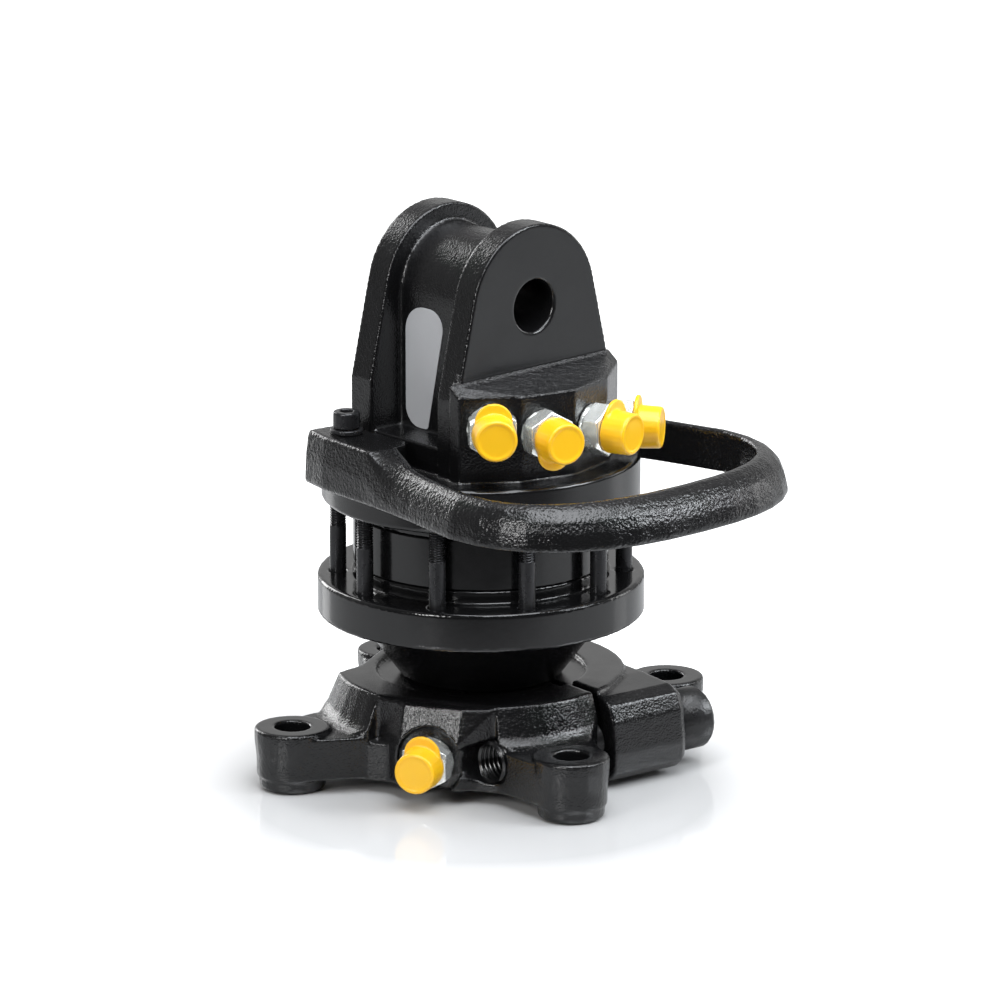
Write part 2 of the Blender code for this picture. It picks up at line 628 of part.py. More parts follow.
def socket_screw(radius, head_radius, head_height, length, segments, key):
    """Socket head screw along +Z: the head below z = 0 and the shank above it."""
    profile = [(radius, length - radius * TIP_BEVEL), (radius, 0.0), (head_radius, 0.0),
               (head_radius, -head_height * (1 - HEAD_BEVEL)), (head_radius * (1 - HEAD_BEVEL), -head_height),
               (0.0, -head_height), (0.0, length), (radius * (1 - TIP_BEVEL), length)]
    item = add_object("screw", lathe(profile, segments), None)
    key_r = key / math.sqrt(3)
    cut(item, cylinder(key_r, -head_height - EMBED, -head_height * SOCKET_SHARE, 6))
    return item


def build_through_bolts(steel):
    """Ten long screws from the lower cover up into the head."""
    seat = COVER_BOTTOM + BOLT_HEAD_H + EMBED - SEAT
    length = DISC_BOTTOM + BOLT_GRIP - seat
    item = socket_screw(BOLT_R, BOLT_HEAD_R, BOLT_HEAD_H, length, HOLE_ROUND, BOLT_KEY)
    item.data.materials.append(steel)
    frames = [Matrix.Translation(place + Vector((0, 0, seat))) for place in bolt_places()]
    spread(item, [f"through_bolt_{i + 1:02d}" for i in range(BOLT_COUNT)], frames)


def guard_stations():
    """Half loop from the rear to the middle of the bar: (across, forward, width, share of block)."""
    stations = [(GUARD_BLOCK_INNER + across, forward, width, share)
                for forward, across, width, share in GUARD_ARM]
    for i in range(GUARD_CORNER_STEPS + 1):
        angle = math.pi / 2 * i / GUARD_CORNER_STEPS
        across = GUARD_CORNER_HALF * abs(math.cos(angle)) ** GUARD_CORNER_POWER
        forward = GUARD_CORNER_START + GUARD_CORNER_DEPTH * math.sin(angle) ** GUARD_CORNER_POWER
        width = GUARD_ARM_WIDTH + (GUARD_BAR_WIDTH - GUARD_ARM_WIDTH) * math.sin(angle)
        stations.append((across, forward, width, 0.0))
    return stations


def build_guard(paint):
    """Cast loop that keeps the hoses off, bolted on both sides of the head."""
    half = guard_stations()
    stations = [(-x, f, w, s) for x, f, w, s in half] + [(x, f, w, s) for x, f, w, s in reversed(half[:-1])]
    shape = bmesh.new()
    rings = []
    for i, (across, forward, width, share) in enumerate(stations):
        before = stations[max(i - 1, 0)]
        after = stations[min(i + 1, len(stations) - 1)]
        along = Vector((after[0] - before[0], -(after[1] - before[1]), 0)).normalized()
        outward = Vector((along.y, -along.x, 0))
        height = GUARD_BAR_HEIGHT + share * (GUARD_BLOCK_HEIGHT - GUARD_BAR_HEIGHT)
        rise = GUARD_RISE * max(0.0, forward / (GUARD_CORNER_START + GUARD_CORNER_DEPTH))
        place = Vector((across, -forward, GUARD_BOTTOM + rise))
        ring = []
        for bar, block in zip(BAR_SECTION, BLOCK_SECTION):
            out = width * (bar[0] + share * (block[0] - bar[0]))
            lift = height * (bar[1] + share * (block[1] - bar[1]))
            ring.append(shape.verts.new(place + outward * out + Vector((0, 0, lift))))
        rings.append(ring)
    for first, second in zip(rings, rings[1:]):
        for i in range(len(first)):
            shape.faces.new((first[i - 1], first[i], second[i], second[i - 1]))
    shape.faces.new(rings[0])
    shape.faces.new(rings[-1])
    item = add_object("hose_guard", shape, paint)
    for side in (-1, 1):
        outline = [(side * (GUARD_BLOCK_INNER + across), -forward) for forward, across in GUARD_PAD]
        tops = [GUARD_BLOCK_TOP - GUARD_PAD_STEP] * len(outline)
        add(item, prism(outline, GUARD_BOTTOM + GUARD_PAD_RISE, tops))
    cut(item, lathe(ring_profile(0.0, DISC_R + 2 * FIT, GUARD_BOTTOM - EMBED, DISC_TOP + SEAT)))
    for side in (-1, 1):
        hole = cylinder(BOLT_R + BOLT_HOLE_CLEARANCE, DISC_TOP - EMBED, GUARD_BLOCK_TOP + EMBED, HOLE_ROUND)
        cut(item, moved(hole, Matrix.Translation((side * GUARD_SCREW[0], GUARD_SCREW[1], 0))))
    return item


def build_guard_fasteners(steel):
    """Two screws with washers on the guard."""
    seat = GUARD_BLOCK_TOP + SEAT
    places = [Vector((side * GUARD_SCREW[0], GUARD_SCREW[1], 0)) for side in (-1, 1)]
    profile = ring_profile(BOLT_R + BOLT_HOLE_CLEARANCE, WASHER_R, 0.0, WASHER_T)
    washer = add_object("washer", lathe(profile, SMALL_ROUND), steel)
    spread(washer, ["guard_washer_left", "guard_washer_right"],
           [Matrix.Translation(place + Vector((0, 0, seat))) for place in places])
    head_seat = seat + WASHER_T + SEAT
    length = head_seat - DISC_TOP + GUARD_SCREW_GRIP
    screw = socket_screw(BOLT_R, BOLT_HEAD_R, BOLT_HEAD_H, length, SMALL_ROUND, BOLT_KEY)
    screw.data.materials.append(steel)
    flip = Matrix.Rotation(math.pi, 4, "X")
    spread(screw, ["guard_screw_left", "guard_screw_right"],
           [Matrix.Translation(place + Vector((0, 0, head_seat))) @ flip for place in places])


def adapter(zinc):
    """Hexagon adapter along +Z, its shoulder seated at z = 0 and its tail below."""
    bottom = SHOULDER_T
    top = bottom + HEX_T
    corner_r = HEX_AF / math.sqrt(3)
    item = add_object("adapter", cylinder(corner_r, bottom, top, 6), zinc)
    face_r = HEX_AF / 2 * HEX_FACE
    wide = corner_r + EMBED
    rise = (wide - face_r) * HEX_BEVEL
    keep_inside(item, lathe([(0.0, bottom - EMBED), (0.0, top), (face_r, top), (wide, top - rise),
                             (wide, bottom + rise), (face_r, bottom), (face_r, bottom - EMBED)], SMALL_ROUND))
    thread_r = PORT_THREAD_R - FIT
    tip_top = top + TIP_LENGTH
    body = [(0.0, -TAIL_LENGTH), (0.0, tip_top), (thread_r - TIP_CHAMFER, tip_top),
            (thread_r, tip_top - TIP_CHAMFER), (thread_r, top - EMBED), (SHOULDER_R - EMBED, top - EMBED),
            (SHOULDER_R - EMBED, bottom), (SHOULDER_R, bottom - FIT), (SHOULDER_R, 0.0), (thread_r, 0.0),
            (thread_r, -TAIL_LENGTH)]
    add(item, lathe(body, SMALL_ROUND))
    return cut(item, cylinder(ADAPTER_BORE_R, -TAIL_LENGTH - EMBED, tip_top + EMBED))


def dust_cap(plastic):
    """Push-on dust cap along +Z over the tip of the adapter, with its pull tab."""
    inner = PORT_THREAD_R
    outer = inner + CAP_WALL
    start = SHOULDER_T + HEX_T + SEAT
    floor = start + TIP_LENGTH
    end = floor + CAP_WALL
    shell = [(0.0, start), (0.0, end - CAP_DISH), (outer - CAP_RIM - CAP_DISH, end - CAP_DISH),
             (outer - CAP_RIM, end), (outer - CAP_EDGE, end), (outer, end - CAP_EDGE),
             (outer + CAP_TAPER, start)]
    item = add_object("cap", lathe(shell, CAP_ROUND), plastic)
    tab = cylinder(TAB_R, start, start + TAB_T, CAP_ROUND)
    add(item, moved(tab, Matrix.Translation((0, TAB_OFFSET, 0))))
    return cut(item, cylinder(inner, start - EMBED, floor, CAP_ROUND))


def build_ports(zinc, plastic):
    """Adapters and caps on the head and on the flange."""
    frames = []
    for angle, height, shift in zip(PORT_ANGLES, PORT_HEIGHTS, PORT_SHIFTS):
        place = port_place(angle, FACET_DISTANCE + SEAT, shift, height)
        frames.append(pointing(place, port_direction(angle)))
    for i in range(2):
        way = turned(FLANGE_TURN + i * math.pi) @ Vector((0, -1, 0))
        place = way * (PORT_BOSS_SEAT + SEAT) + Vector((0, 0, FLANGE_PORT_HEIGHT))
        frames.append(pointing(place, way))
    places = [f"upper_{i + 1}" for i in range(len(PORT_ANGLES))] + ["flange_front", "flange_rear"]
    spread(adapter(zinc), [f"port_adapter_{place}" for place in places], frames)
    turns = CAP_TABS + [0.0, 0.0]
    spread(dust_cap(plastic), [f"port_cap_{place}" for place in places],
           [frame @ Matrix.Rotation(turn, 4, "Z") for frame, turn in zip(frames, turns)])


def spline_outline(radius, depth):
    """Serrated round outline with its tips at the given radius."""
    points = []
    for i in range(SPLINE_TEETH):
        for share, inset in ((0.0, 0.0), (0.3, 0.0), (0.5, depth), (0.8, depth)):
            angle = 2 * math.pi * (i + share) / SPLINE_TEETH
            points.append(((radius - inset) * math.cos(angle), (radius - inset) * math.sin(angle)))
    return points


def groove(radius, height, half, depth):
    """Profile points of a square groove, from its top edge down."""
    return [(radius, height + half), (radius - depth, height + half),
            (radius - depth, height - half), (radius, height - half)]


def build_rotor(steel):
    """Rotor and shaft in one forging: vane slots, journals, oil ways and splined end."""
    body_bottom = STATOR_BOTTOM + SEAT
    body_top = STATOR_TOP - ROTOR_CLEARANCE
    hub_top = HUB_RECESS_FLOOR + SEAT
    profile = [(UPPER_JOURNAL_R - RIM_CHAMFER, SHAFT_TOP), (UPPER_JOURNAL_R, SHAFT_TOP - RIM_CHAMFER)]
    grooves = [(h, UNION_SEAL_H / 2 + SEAT, UNION_SEAL_DEPTH) for h in union_seal_heights()]
    grooves.append((PORT_HEIGHTS[-1], UNION_GROOVE_HALF, LINE_GROOVE_DEPTH))
    for height, half, depth in sorted(grooves, reverse=True):
        profile += groove(UPPER_JOURNAL_R, height, half, depth)
    profile += [(UPPER_JOURNAL_R, body_top), (ROTOR_R, body_top), (ROTOR_R, body_bottom),
                (JOURNAL_R, body_bottom), (JOURNAL_R, hub_top), (HUB_SHAFT_R, hub_top)]
    grooves = [(h, LINE_GROOVE_HALF) for h in LINE_HEIGHTS]
    grooves += [(h, HUB_ORING_H / 2 + SEAT) for h in HUB_ORING_HEIGHTS]
    for height, half in sorted(grooves, reverse=True):
        profile += groove(HUB_SHAFT_R, height, half, LINE_GROOVE_DEPTH)
    profile += [(HUB_SHAFT_R, SPLINE_TOP), (0.0, SPLINE_TOP), (0.0, SHAFT_TOP)]
    item = add_object("rotor_shaft", lathe(profile, MID_ROUND), steel)
    add(item, moved(prism(spline_outline(HUB_SHAFT_R, SPLINE_DEPTH), SHAFT_END, SPLINE_TOP + EMBED),
                    turned(FLANGE_TURN)))
    for i in range(VANE_COUNT):
        half = VANE_T / 2 + FIT
        slot = box(VANE_SLOT_R, ROTOR_R + EMBED, -half, half, body_bottom - EMBED, body_top + EMBED)
        cut(item, moved(slot, turned(vane_angle(i))))
    clip = clip_height()
    cut(item, lathe(ring_profile(HUB_SHAFT_R - SPLINE_DEPTH - CLIP_DEPTH, HUB_SHAFT_R + EMBED,
                                 clip - SEAT, clip + CLIP_T + SEAT), MID_ROUND))
    drilled = ((1, LINE_HEIGHTS[0], SHAFT_TOP + EMBED), (-1, SHAFT_END - EMBED, PORT_HEIGHTS[-1]))
    for side, bottom, top in drilled:
        bore = cylinder(SHAFT_GALLERY_R, bottom, top, HOLE_ROUND)
        cut(item, moved(bore, Matrix.Translation((side * SHAFT_GALLERY_X, 0, 0))))
    crosses = ((1, LINE_HEIGHTS[0], HUB_SHAFT_R), (-1, LINE_HEIGHTS[1], HUB_SHAFT_R),
               (-1, PORT_HEIGHTS[-1], UPPER_JOURNAL_R))
    for side, height, reach in crosses:
        cross = cylinder(CROSS_GALLERY_R, SHAFT_GALLERY_X, reach + EMBED, HOLE_ROUND)
        cut(item, moved(cross, pointing((0, 0, height), (side, 0, 0))))
    return item


def vane_angle(index):
    return 2 * math.pi * (index + 0.5) / VANE_COUNT


def union_seal_heights():
    """One seal below and one above the line groove near the top of the shaft."""
    step = UNION_GROOVE_HALF + UNION_SEAL_H / 2 + UNION_SEAL_LAND
    return [PORT_HEIGHTS[-1] - step, PORT_HEIGHTS[-1] + step]


def clip_height():
    return PLATE_BOTTOM - SEAT - CLIP_T


def build_vanes(steel, spring_steel):
    """Sliding vanes, drawn in to the land of the cam, with a leaf spring behind each."""
    bottom = STATOR_BOTTOM + 2 * SEAT
    top = STATOR_TOP - 2 * SEAT
    inner = VANE_SLOT_R + 2 * FIT + 2 * VANE_SPRING_T
    outer = CAM_LAND_R - FIT
    half = VANE_T / 2
    outline = [(inner, -half), (outer - VANE_NOSE, -half), (outer, -half + VANE_NOSE), (outer, half - VANE_NOSE),
               (outer - VANE_NOSE, half), (inner, half)]
    for i in range(VANE_COUNT):
        vane = moved(prism(outline, bottom, top), turned(vane_angle(i)))
        add_object(f"vane_{i + 1}", vane, steel)
    low = bottom + VANE_SPRING_MARGIN
    length = top - bottom - 2 * VANE_SPRING_MARGIN
    inner_line = []
    for i in range(VANE_SPRING_STEPS + 1):
        share = i / VANE_SPRING_STEPS
        bow = VANE_SPRING_T * math.sin(math.pi * share)
        inner_line.append((VANE_SLOT_R + FIT + bow, low + length * share))
    outer_line = [(r + VANE_SPRING_T - FIT, z) for r, z in inner_line]
    for i in range(VANE_COUNT):
        leaf = standing(inner_line + outer_line[::-1], -VANE_SPRING_HALF, VANE_SPRING_HALF)
        add_object(f"vane_spring_{i + 1}", moved(leaf, turned(vane_angle(i))), spring_steel)


def build_bearings(bronze, rubber, steel):
    """Bushes, thrust washers and every seal on the shaft."""
    inner = UPPER_JOURNAL_R + FIT
    add_object("upper_bush", lathe(ring_profile(
        inner, inner + BUSH_WALL, STATOR_TOP + THRUST_T + 2 * SEAT, UPPER_BUSH_TOP), MID_ROUND), bronze)
    inner = JOURNAL_R + FIT
    floor = STATOR_BOTTOM - THRUST_T - SEAT
    add_object("lower_bush", lathe(ring_profile(
        inner, inner + BUSH_WALL, LOWER_BUSH_BOTTOM, LOWER_BUSH_TOP), MID_ROUND), bronze)
    add_object("lower_thrust_washer", lathe(ring_profile(
        JOURNAL_R + FIT, THRUST_OUTER_R, floor + SEAT, STATOR_BOTTOM), MID_ROUND), bronze)
    add_object("upper_thrust_washer", lathe(ring_profile(
        UPPER_JOURNAL_R + FIT, UPPER_THRUST_OUTER_R, STATOR_TOP + THRUST_CLEARANCE,
        STATOR_TOP + THRUST_T), MID_ROUND), bronze)
    start = NECK_BOTTOM + SEAT
    add_object("shaft_seal", lathe(ring_profile(
        JOURNAL_R + FIT, JOURNAL_R + SEAL_POCKET_WALL + FIT,
        start, start + SHAFT_SEAL_H), MID_ROUND), rubber)
    for i, height in enumerate(union_seal_heights()):
        add_object(f"union_seal_{i + 1}", lathe(ring_profile(
            UPPER_JOURNAL_R - UNION_SEAL_DEPTH + FIT, UPPER_JOURNAL_R + FIT,
            height - UNION_SEAL_H / 2, height + UNION_SEAL_H / 2), MID_ROUND), rubber)
    for i, height in enumerate(HUB_ORING_HEIGHTS):
        add_object(f"hub_seal_{i + 1}", lathe(ring_profile(
            HUB_SHAFT_R - LINE_GROOVE_DEPTH + FIT, HUB_SHAFT_R,
            height - HUB_ORING_H / 2, height + HUB_ORING_H / 2), MID_ROUND), rubber)
    clip = clip_height()
    inner = HUB_SHAFT_R - SPLINE_DEPTH - CLIP_DEPTH + FIT
    profile = ring_profile(inner, CLIP_OUTER_R, clip, clip + CLIP_T)
    ring = add_object("retaining_ring", lathe(profile, MID_ROUND), steel)
    half = CLIP_GAP / 2
    gap = box(0.0, CLIP_OUTER_R + EMBED, -half, half, clip - EMBED, clip + CLIP_T + EMBED)
    cut(ring, moved(gap, turned(FLANGE_TURN)))
    dowel = cylinder(DOWEL_R, STATOR_BOTTOM - DOWEL_GRIP, STATOR_TOP + DOWEL_GRIP, HOLE_ROUND)
    add_object("stator_dowel", moved(dowel, Matrix.Translation(dowel_places()[0])), steel)
    plug = cylinder(SHAFT_GALLERY_R - FIT, SHAFT_END, SHAFT_END + PLUG_LENGTH, HOLE_ROUND)
    add_object("gallery_plug", moved(plug, Matrix.Translation((-SHAFT_GALLERY_X, 0, 0))), steel)


def clamp_frame():
    """Frame of the clamp bolt: local Z along it, origin beside the main axis."""
    along = Vector((math.cos(CLAMP_DIRECTION), math.sin(CLAMP_DIRECTION), 0))
    foot = turned(math.pi / 2) @ along * CLAMP_OFFSET
    return turned(FLANGE_TURN) @ pointing(foot + Vector((0, 0, CLAMP_HEIGHT)), along)


def clamp_plan(outline):
    """Plan points given as (out from the axis, along the bolt), in the flange frame."""
    along = Vector((math.cos(CLAMP_DIRECTION), math.sin(CLAMP_DIRECTION), 0))
    across = turned(math.pi / 2) @ along
    return [tuple((across * q + along * t).xy) for q, t in outline]


def port_boss_plan(front):
    """Half octagon round a flange port as (across, forward), with its front at a distance."""
    side_n, side_p = PORT_BOSS_SIDE
    return [(-side_p, 0.0), (-side_p, -side_n), (-PORT_BOSS_FLAT, -front), (PORT_BOSS_FLAT, -front),
            (side_p, -side_n), (side_p, 0.0)]


def port_relief_plan():
    """Plan of what is taken off the hub round a port before its boss is added."""
    side_n, side_p = PORT_BOSS_SIDE
    flare_n, flare_p = PORT_BOSS_FLARE
    far = 2 * PORT_BOSS_FRONT
    half = [(side_p, -side_n + EMBED), (flare_p, -flare_n), (flare_p, -far)]
    return half + [(-x, y) for x, y in reversed(half)]


def side_pocket_plan():
    """Plan of the pocket in the left side of the hub."""
    half = [(-out, side) for out, side in SIDE_POCKET]
    return half + [(x, -y) for x, y in reversed(half)]


def arm_plan():
    """Plan of the arm that runs out to a lug, tangent to it on both sides."""
    centre = Vector((LUG_PITCH / 2, LUG_PITCH / 2))
    waist = Vector((WAIST_HALF, PLATE_HALF)) - centre
    start = math.atan2(waist.y, waist.x) % (2 * math.pi) - math.acos(ARM_R / waist.length)
    rim = arc(centre, ARM_R, start, math.pi / 2 - start, SMALL_ROUND)
    return [(WAIST_HALF, PLATE_HALF)] + rim + [(PLATE_HALF, WAIST_HALF), (WAIST_HALF, WAIST_HALF)]


def build_flange(paint):
    """Split clamp flange: hub, four lugs, port bosses, clamp block and slot."""
    outer = HUB_FLANK[-1][0]
    flank = [(0.0, PLATE_BOTTOM), (0.0, HUB_HEIGHT), (HUB_TOP_R, HUB_HEIGHT)]
    flank += [*HUB_FLANK, (outer, PLATE_BOTTOM)]
    item = add_object("clamp_flange", lathe(flank), paint)
    side = PLATE_HALF
    keep_inside(item, box(-side, side, -side, side, -EMBED, HUB_HEIGHT + EMBED))
    inset = side - EMBED
    add(item, box(-inset, inset, -inset, inset, PLATE_BOTTOM + PLATE_STEP, PLATE_TOP))
    cut(item, prism(side_pocket_plan(), SIDE_POCKET_FLOOR, HUB_HEIGHT + EMBED))
    for turn in (0.0, math.pi):
        cut(item, moved(prism(port_relief_plan(), PLATE_TOP - 2 * EMBED, HUB_HEIGHT + EMBED), turned(turn)))
        boss = loft([(port_boss_plan(PORT_BOSS_FRONT), PLATE_BOTTOM + 2 * PLATE_STEP),
                     (port_boss_plan(PORT_BOSS_FRONT), PORT_BOSS_BREAK),
                     (port_boss_plan(PORT_BOSS_TOP), HUB_HEIGHT - EMBED)])
        add(item, moved(boss, turned(turn)))
    for i, place in enumerate(lug_places()):
        arm = prism(arm_plan(), PLATE_BOTTOM + 3 * PLATE_STEP, PLATE_TOP + ARM_STEP)
        add(item, moved(arm, turned(i * math.pi / 2)))
        lug = [(0.0, 0.0), (0.0, LUG_HEIGHT), (LUG_TOP_R - LUG_FACE_STEP, LUG_HEIGHT),
               (LUG_TOP_R, LUG_HEIGHT - LUG_FACE_STEP), (LUG_TOP_R, PLATE_TOP - LUG_SKIRT),
               (LUG_FOOT_R, LUG_FOOT_BEVEL), (LUG_FOOT_R - LUG_FOOT_BEVEL, 0.0)]
        add(item, moved(lathe(lug, MID_ROUND), place))
    frame = turned(-FLANGE_TURN) @ clamp_frame()
    end = [(x * CLAMP_END_SHARE, y * CLAMP_END_SHARE) for x, y in CLAMP_BLOCK]
    block = loft([(end, -CLAMP_SEAT), (CLAMP_BLOCK, -CLAMP_SEAT + CLAMP_BLOCK_CHAMFER),
                  (CLAMP_BLOCK, -SLOT_OFFSET + EMBED)])
    add(item, moved(block, frame))
    cut_flange_bores(item)
    item.data.transform(turned(FLANGE_TURN))
    return item


def lug_places():
    reach = LUG_PITCH / math.sqrt(2)
    return [turned(math.pi / 4 + i * math.pi / 2) @ Matrix.Translation((reach, 0, 0)) for i in range(4)]


def cut_flange_bores(item):
    """Everything bored, milled or sawn in the flange."""
    half = SLOT_WIDTH / 2
    far = 2 * CLAMP_OFFSET
    slot = [(0.0, -SLOT_OFFSET - half), (far, -SLOT_OFFSET - half), (far, -SLOT_OFFSET + half),
            (0.0, -SLOT_OFFSET + half)]
    cut(item, prism(clamp_plan(slot), -EMBED, HUB_HEIGHT + EMBED))
    cut(item, lathe(ring_profile(0.0, HUB_RECESS_R, HUB_RECESS_FLOOR, HUB_HEIGHT + EMBED)))
    cut(item, prism(spline_outline(HUB_SHAFT_R + FIT, SPLINE_DEPTH), -EMBED, SPLINE_TOP))
    cut(item, cylinder(HUB_SHAFT_R + 1.5 * FIT, SPLINE_TOP - SEAT, HUB_HEIGHT, MID_ROUND))
    for place in lug_places():
        cut(item, moved(cylinder(LUG_BOLT_R, -EMBED, LUG_HEIGHT + EMBED, MID_ROUND), place))
    for turn, line in ((0.0, LINE_HEIGHTS[0]), (math.pi, LINE_HEIGHTS[1])):
        way = turned(turn) @ Vector((0, -1, 0))
        frame = pointing(Vector((0, 0, FLANGE_PORT_HEIGHT)) + way * PORT_BOSS_SEAT, way)
        front = PORT_BOSS_FRONT - PORT_BOSS_SEAT + EMBED
        port = [(0.0, -PORT_THREAD_DEPTH - PORT_THREAD_R / 2), (0.0, front), (FLANGE_SPOTFACE_R, front),
                (FLANGE_SPOTFACE_R, 0.0), (PORT_THREAD_R, 0.0), (PORT_THREAD_R, -PORT_THREAD_DEPTH)]
        cut(item, moved(lathe(port, MID_ROUND), frame))
        start = Vector((0, 0, FLANGE_PORT_HEIGHT)) + way * (PORT_BOSS_SEAT - PORT_THREAD_DEPTH)
        run = Vector((0, 0, line)) + way * (HUB_SHAFT_R - EMBED) - start
        tilt = run.to_track_quat("Z", "Y").to_matrix().to_4x4()
        tilt.translation = start
        cut(item, moved(cylinder(GALLERY_R, -2 * EMBED, run.length, HOLE_ROUND), tilt))
    frame = turned(-FLANGE_TURN) @ clamp_frame()
    clearance = CLAMP_R + CLAMP_CLEARANCE
    bolt = [(0.0, -far), (0.0, far), (CLAMP_R + FIT, far), (CLAMP_R + FIT, -SLOT_OFFSET),
            (clearance, -SLOT_OFFSET), (clearance, -far)]
    cut(item, moved(lathe(bolt, MID_ROUND), frame))


def build_clamp_bolt(steel):
    """Socket screw that draws the split hub together."""
    item = socket_screw(CLAMP_R, CLAMP_HEAD_R, CLAMP_HEAD_H, CLAMP_LENGTH, CAP_ROUND, CLAMP_KEY)
    item.name = "clamp_bolt"
    item.data.materials.append(steel)
    item.matrix_world = clamp_frame() @ Matrix.Translation((0, 0, -CLAMP_SEAT - SEAT))
    return item


def finish_surfaces():
    """Shade round pieces smooth and keep true edges sharp."""
    for item in bpy.data.objects:
        if item.type == "MESH":
            item.data.shade_smooth()
            item.data.set_sharp_from_angle(angle=math.radians(32))


def main():
    for item in list(bpy.data.objects):
        bpy.data.objects.remove(item)
    gloss = material("gloss_black_paint", (0.012, 0.012, 0.013), 0.25, 0.0)
    cast = material("cast_black_paint", (0.016, 0.016, 0.017), 0.4, 0.0)
    steel = material("dark_steel", (0.05, 0.05, 0.055), 0.35, 1.0)
    bright = material("ground_steel", (0.5, 0.5, 0.52), 0.3, 1.0)
    zinc = material("zinc_plate", (0.62, 0.63, 0.64), 0.28, 1.0)
    yellow = material("yellow_plastic", (0.85, 0.55, 0.02), 0.35, 0.0)
    rubber = material("black_rubber", (0.02, 0.02, 0.02), 0.7, 0.0)
    bronze = material("bearing_bronze", (0.45, 0.28, 0.12), 0.4, 1.0)
    build_head(cast)
    build_stator(steel)
    build_orings(rubber)
    build_lower_cover(gloss)
    build_through_bolts(steel)
    build_guard(cast)
    build_guard_fasteners(steel)
    build_ports(zinc, yellow)
    build_rotor(bright)
    build_vanes(bright, steel)
    build_bearings(bronze, rubber, bright)
    build_flange(cast)
    build_clamp_bolt(steel)
    finish_surfaces()


main()
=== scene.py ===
import json
import math

import bmesh
import bpy
from mathutils import Matrix, Vector

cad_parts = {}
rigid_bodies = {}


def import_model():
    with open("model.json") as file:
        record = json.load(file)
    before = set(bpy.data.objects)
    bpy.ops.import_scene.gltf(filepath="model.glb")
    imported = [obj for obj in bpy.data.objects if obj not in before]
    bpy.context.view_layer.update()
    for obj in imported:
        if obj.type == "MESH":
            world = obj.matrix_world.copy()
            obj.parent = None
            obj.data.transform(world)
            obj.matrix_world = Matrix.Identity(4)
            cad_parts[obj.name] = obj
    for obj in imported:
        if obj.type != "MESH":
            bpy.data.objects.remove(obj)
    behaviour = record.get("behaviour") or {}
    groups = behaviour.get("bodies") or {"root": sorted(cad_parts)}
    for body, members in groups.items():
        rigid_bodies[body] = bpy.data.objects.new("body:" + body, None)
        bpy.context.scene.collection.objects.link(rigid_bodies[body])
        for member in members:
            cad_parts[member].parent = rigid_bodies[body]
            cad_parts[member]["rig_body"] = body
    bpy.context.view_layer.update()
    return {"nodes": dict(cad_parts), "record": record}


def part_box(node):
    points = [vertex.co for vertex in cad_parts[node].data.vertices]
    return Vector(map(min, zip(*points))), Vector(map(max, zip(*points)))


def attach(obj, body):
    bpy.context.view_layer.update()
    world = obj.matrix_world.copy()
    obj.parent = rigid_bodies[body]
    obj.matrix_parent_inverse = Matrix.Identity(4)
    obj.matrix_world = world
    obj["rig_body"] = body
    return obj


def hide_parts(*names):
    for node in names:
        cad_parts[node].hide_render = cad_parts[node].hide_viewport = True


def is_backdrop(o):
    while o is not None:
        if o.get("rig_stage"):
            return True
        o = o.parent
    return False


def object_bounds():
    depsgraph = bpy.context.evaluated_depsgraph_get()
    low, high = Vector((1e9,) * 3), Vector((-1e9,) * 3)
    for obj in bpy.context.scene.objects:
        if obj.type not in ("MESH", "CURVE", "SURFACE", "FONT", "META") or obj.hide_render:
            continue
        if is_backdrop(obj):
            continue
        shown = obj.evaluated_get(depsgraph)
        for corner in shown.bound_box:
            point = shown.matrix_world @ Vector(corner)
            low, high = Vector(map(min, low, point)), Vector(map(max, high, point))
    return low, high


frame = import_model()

mm = 0.001
nodes = frame["nodes"]
HOUSING = "housing"
ROTOR = "shaft_and_flange"

# Camera fitted to the photograph
CAMERA_PLACE = (-2.7320, -2.9297, 1.2385)
CAMERA_PITCH = 15.476
CAMERA_TURN = -43.13
CAMERA_LENS = 314.2

FLANGE_TURN = math.radians(-62.7)
CLAMP_DIRECTION = math.radians(-123.0)


# Materials

def new_material(name):
    made = bpy.data.materials.new(name)
    made.use_nodes = True
    tree = made.node_tree
    return made, tree, tree.nodes["Principled BSDF"]


def node(tree, kind, **values):
    made = tree.nodes.new(kind)
    for key, value in values.items():
        setattr(made, key, value)
    return made


def noise(tree, scale, detail=2.0, roughness=0.5, coordinates=None):
    made = node(tree, "ShaderNodeTexNoise")
    made.inputs["Scale"].default_value = scale
    made.inputs["Detail"].default_value = detail
    made.inputs["Roughness"].default_value = roughness
    if coordinates is not None:
        tree.links.new(coordinates, made.inputs["Vector"])
    return made


def ramp(tree, source, low, high, out_low=0.0, out_high=1.0):
    made = node(tree, "ShaderNodeMapRange")
    made.inputs["From Min"].default_value = low
    made.inputs["From Max"].default_value = high
    made.inputs["To Min"].default_value = out_low
    made.inputs["To Max"].default_value = out_high
    tree.links.new(source, made.inputs["Value"])
    return made.outputs["Result"]


def bumped(tree, shader, layers, round_edges=0.0):
    """Chain bump layers (height socket, strength, distance) into the shader's normal."""
    normal = None
    if round_edges > 0.0:
        edge = node(tree, "ShaderNodeBevel", samples=6)
        edge.inputs["Radius"].default_value = round_edges
        normal = edge.outputs["Normal"]
    for height, strength, distance in layers:
        bump = node(tree, "ShaderNodeBump")
        bump.inputs["Strength"].default_value = strength
        bump.inputs["Distance"].default_value = distance
        tree.links.new(height, bump.inputs["Height"])
        if normal is not None:
            tree.links.new(normal, bump.inputs["Normal"])
        normal = bump.outputs["Normal"]
    if normal is not None:
        tree.links.new(normal, shader.inputs["Normal"])


